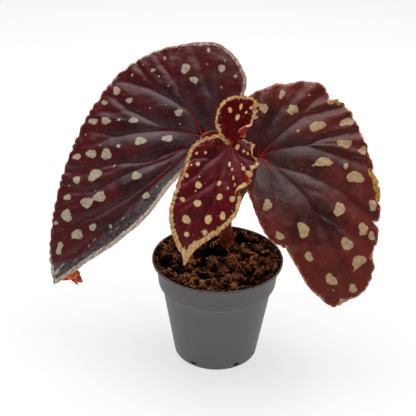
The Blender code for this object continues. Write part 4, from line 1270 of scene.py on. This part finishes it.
def make_stipule():
    """Boat-shaped sheet that sheathed the bud, hollow toward the shoot, its tip bent over."""
    spine = curve_through(STIPULE_ROUTE, 0.4)
    piece, w, t = grid("stipule_sheath", 40, 70)
    w = 2 * w - 1
    along = follow(unit(np.gradient(spine, axis=0)), t)
    away = unit(np.array((-0.1, 0.85, 0.45)))
    outward = unit(away - (along @ away)[:, None] * along)
    share = smooth_through(STIPULE_HALVES, t)
    hollow = STIPULE_DEPTH * (1 - w * w) * share
    ripple = 0.25 * np.sin(9 * w + 14 * t) * t + 0.15 * np.sin(17 * w)
    side = (0.5 * STIPULE_WIDTH * share * w)[:, None] * np.cross(along, outward)
    move_to(piece, follow(spine, t) + side + (hollow + ripple)[:, None] * outward)
    note(piece, rim=np.abs(w))
    thicken(piece, STIPULE_THICK)
    settle(piece, "stipule", stipule_finish(), node="stipule")


def make_scrap(lay):
    """Curled scrap of dried margin whose root is sunk in the blade's edge."""
    piece, across, t = grid("dried_scrap", 60, 26)
    start, run = SCRAP_ROOT
    normal = lay.blade.normal
    root = lay.near_margin(start + run * across) - 0.5 * BLADE_THICK * normal
    drop = smooth_through(SCRAP_DROP, across) * (1 + 0.18 * np.sin(18 * across)) * t
    curl = (1.6 * np.sin(2.4 * t + 9.0 * across) + 0.6 * np.sin(22 * across)) * t
    fall = unit(np.array((0.6, -0.2, -1.0))) - 0.15 * normal
    move_to(piece, root + drop[:, None] * fall + curl[:, None] * aim(-12, 10))
    thicken(piece, SCRAP_THICK, 0.0)
    settle(piece, "leaf_left", mottled("dried leaf margin"))


def make_pocket(lay):
    """Web of blade at the back of the fold low on the young leaf's right margin, coloured dark as painted
    shade.
    """
    piece, a, t = grid("folded_margin", 16, 16)
    lower, upper = (lay.near_margin(start + run * t) for start, run in POCKET_SIDES)
    back = 0.6 + 8.0 * a * (1 - a) * (1 - t)
    move_to(piece, lower + a[:, None] * (upper - lower) - back[:, None] * lay.blade.normal)
    thicken(piece, POCKET_THICK)
    settle(piece, "leaf_young", mottled("shaded fold"))


def make_leaves():
    """The three blades with their veins, and what hangs on two of them."""
    leaves = (("left", LEFT, make_scrap), ("right", RIGHT, None), ("young", YOUNG, make_pocket))
    for k, (name, plan, make_more) in enumerate(leaves):
        tones = {key: row[k] for key, row in TONES.items()}
        slot = "leaf_" + name
        finishes = (leaf_finish(name + " face", plan, tones),
                    plain_leaf_finish(name + " underside", "under", "under_shade", tones),
                    plain_leaf_finish(name + " edge", "margin_shade", "margin", tones))
        lay = make_blade("blade_" + name, slot, plan, finishes)
        make_veins("veins_" + name, slot, lay,
                   vein_finish(name + " veins", plan["vein_reach"], tones))
        if make_more:
            make_more(lay)


def make_floor():
    """Pale floor that glows a little, as painted light, least beside the pot as a painted shadow."""
    select_only()
    bpy.ops.mesh.primitive_plane_add(size=FLOOR_SIZE)
    floor = named("floor")
    look = Finish("pale paper floor", 0.9, 0.1, Emission_Color=(1.0, 1.0, 1.0, 1.0),
                  Emission_Strength=FLOOR_GLOW)
    look.feed("Base Color", FLOOR_GREY + 0.02 * look.noise(300.0, 2.0))
    depth = look.axis(1)
    # Painted shadow: the glow dips beside the pot and rises in front of it and behind it
    glow = GLOW_BESIDE + (GLOW_BEFORE - GLOW_BESIDE) * look.ease(depth, -0.02, -0.26)
    look.feed("Emission Color", glow + (GLOW_BEHIND - glow) * look.ease(depth, 0.10, 0.60))
    floor.data.materials.append(look.material)


def make_light():
    """Wide soft light overhead and a little behind, in a dim room that looks white."""
    world = bpy.data.worlds.new("studio")
    world.use_nodes = True
    nodes, links = world.node_tree.nodes, world.node_tree.links
    seen = nodes.new("ShaderNodeLightPath").outputs["Is Camera Ray"]
    strength = nodes.new("ShaderNodeMapRange")
    strength.inputs["To Min"].default_value = ROOM_LIGHT
    strength.inputs["To Max"].default_value = ROOM_WHITE
    links.new(seen, strength.inputs["Value"])
    back = nodes["Background"]
    back.inputs["Color"].default_value = (1.0, 1.0, 1.0, 1.0)
    links.new(strength.outputs["Result"], back.inputs["Strength"])
    bpy.context.scene.world = world
    bpy.ops.object.light_add(type="AREA", location=LAMP_PLACE)
    lamp = bpy.context.object
    lamp.data.size = LAMP_SIZE
    lamp.data.energy = LAMP_WATTS
    toward = Vector(LAMP_TARGET) - lamp.location
    lamp.rotation_euler = toward.to_track_quat("-Z", "Y").to_euler()
    bpy.context.scene.view_settings.view_transform = "Standard"


def make_camera():
    camera = link("camera", bpy.data.cameras.new("camera"))
    camera.data.sensor_width = 36.0
    camera.data.lens = CAMERA_LENS
    turned_to = Matrix((CAMERA_RIGHT, CAMERA_UP, -CAMERA_AHEAD)).transposed().to_4x4()
    camera.matrix_world = Matrix.Translation(CAMERA_PLACE) @ turned_to
    bpy.context.scene.camera = camera


make_camera()
make_light()
make_floor()
make_pot()
make_soil()
make_stem()
make_leaves()
make_stipule()
bpy.context.view_layer.update()
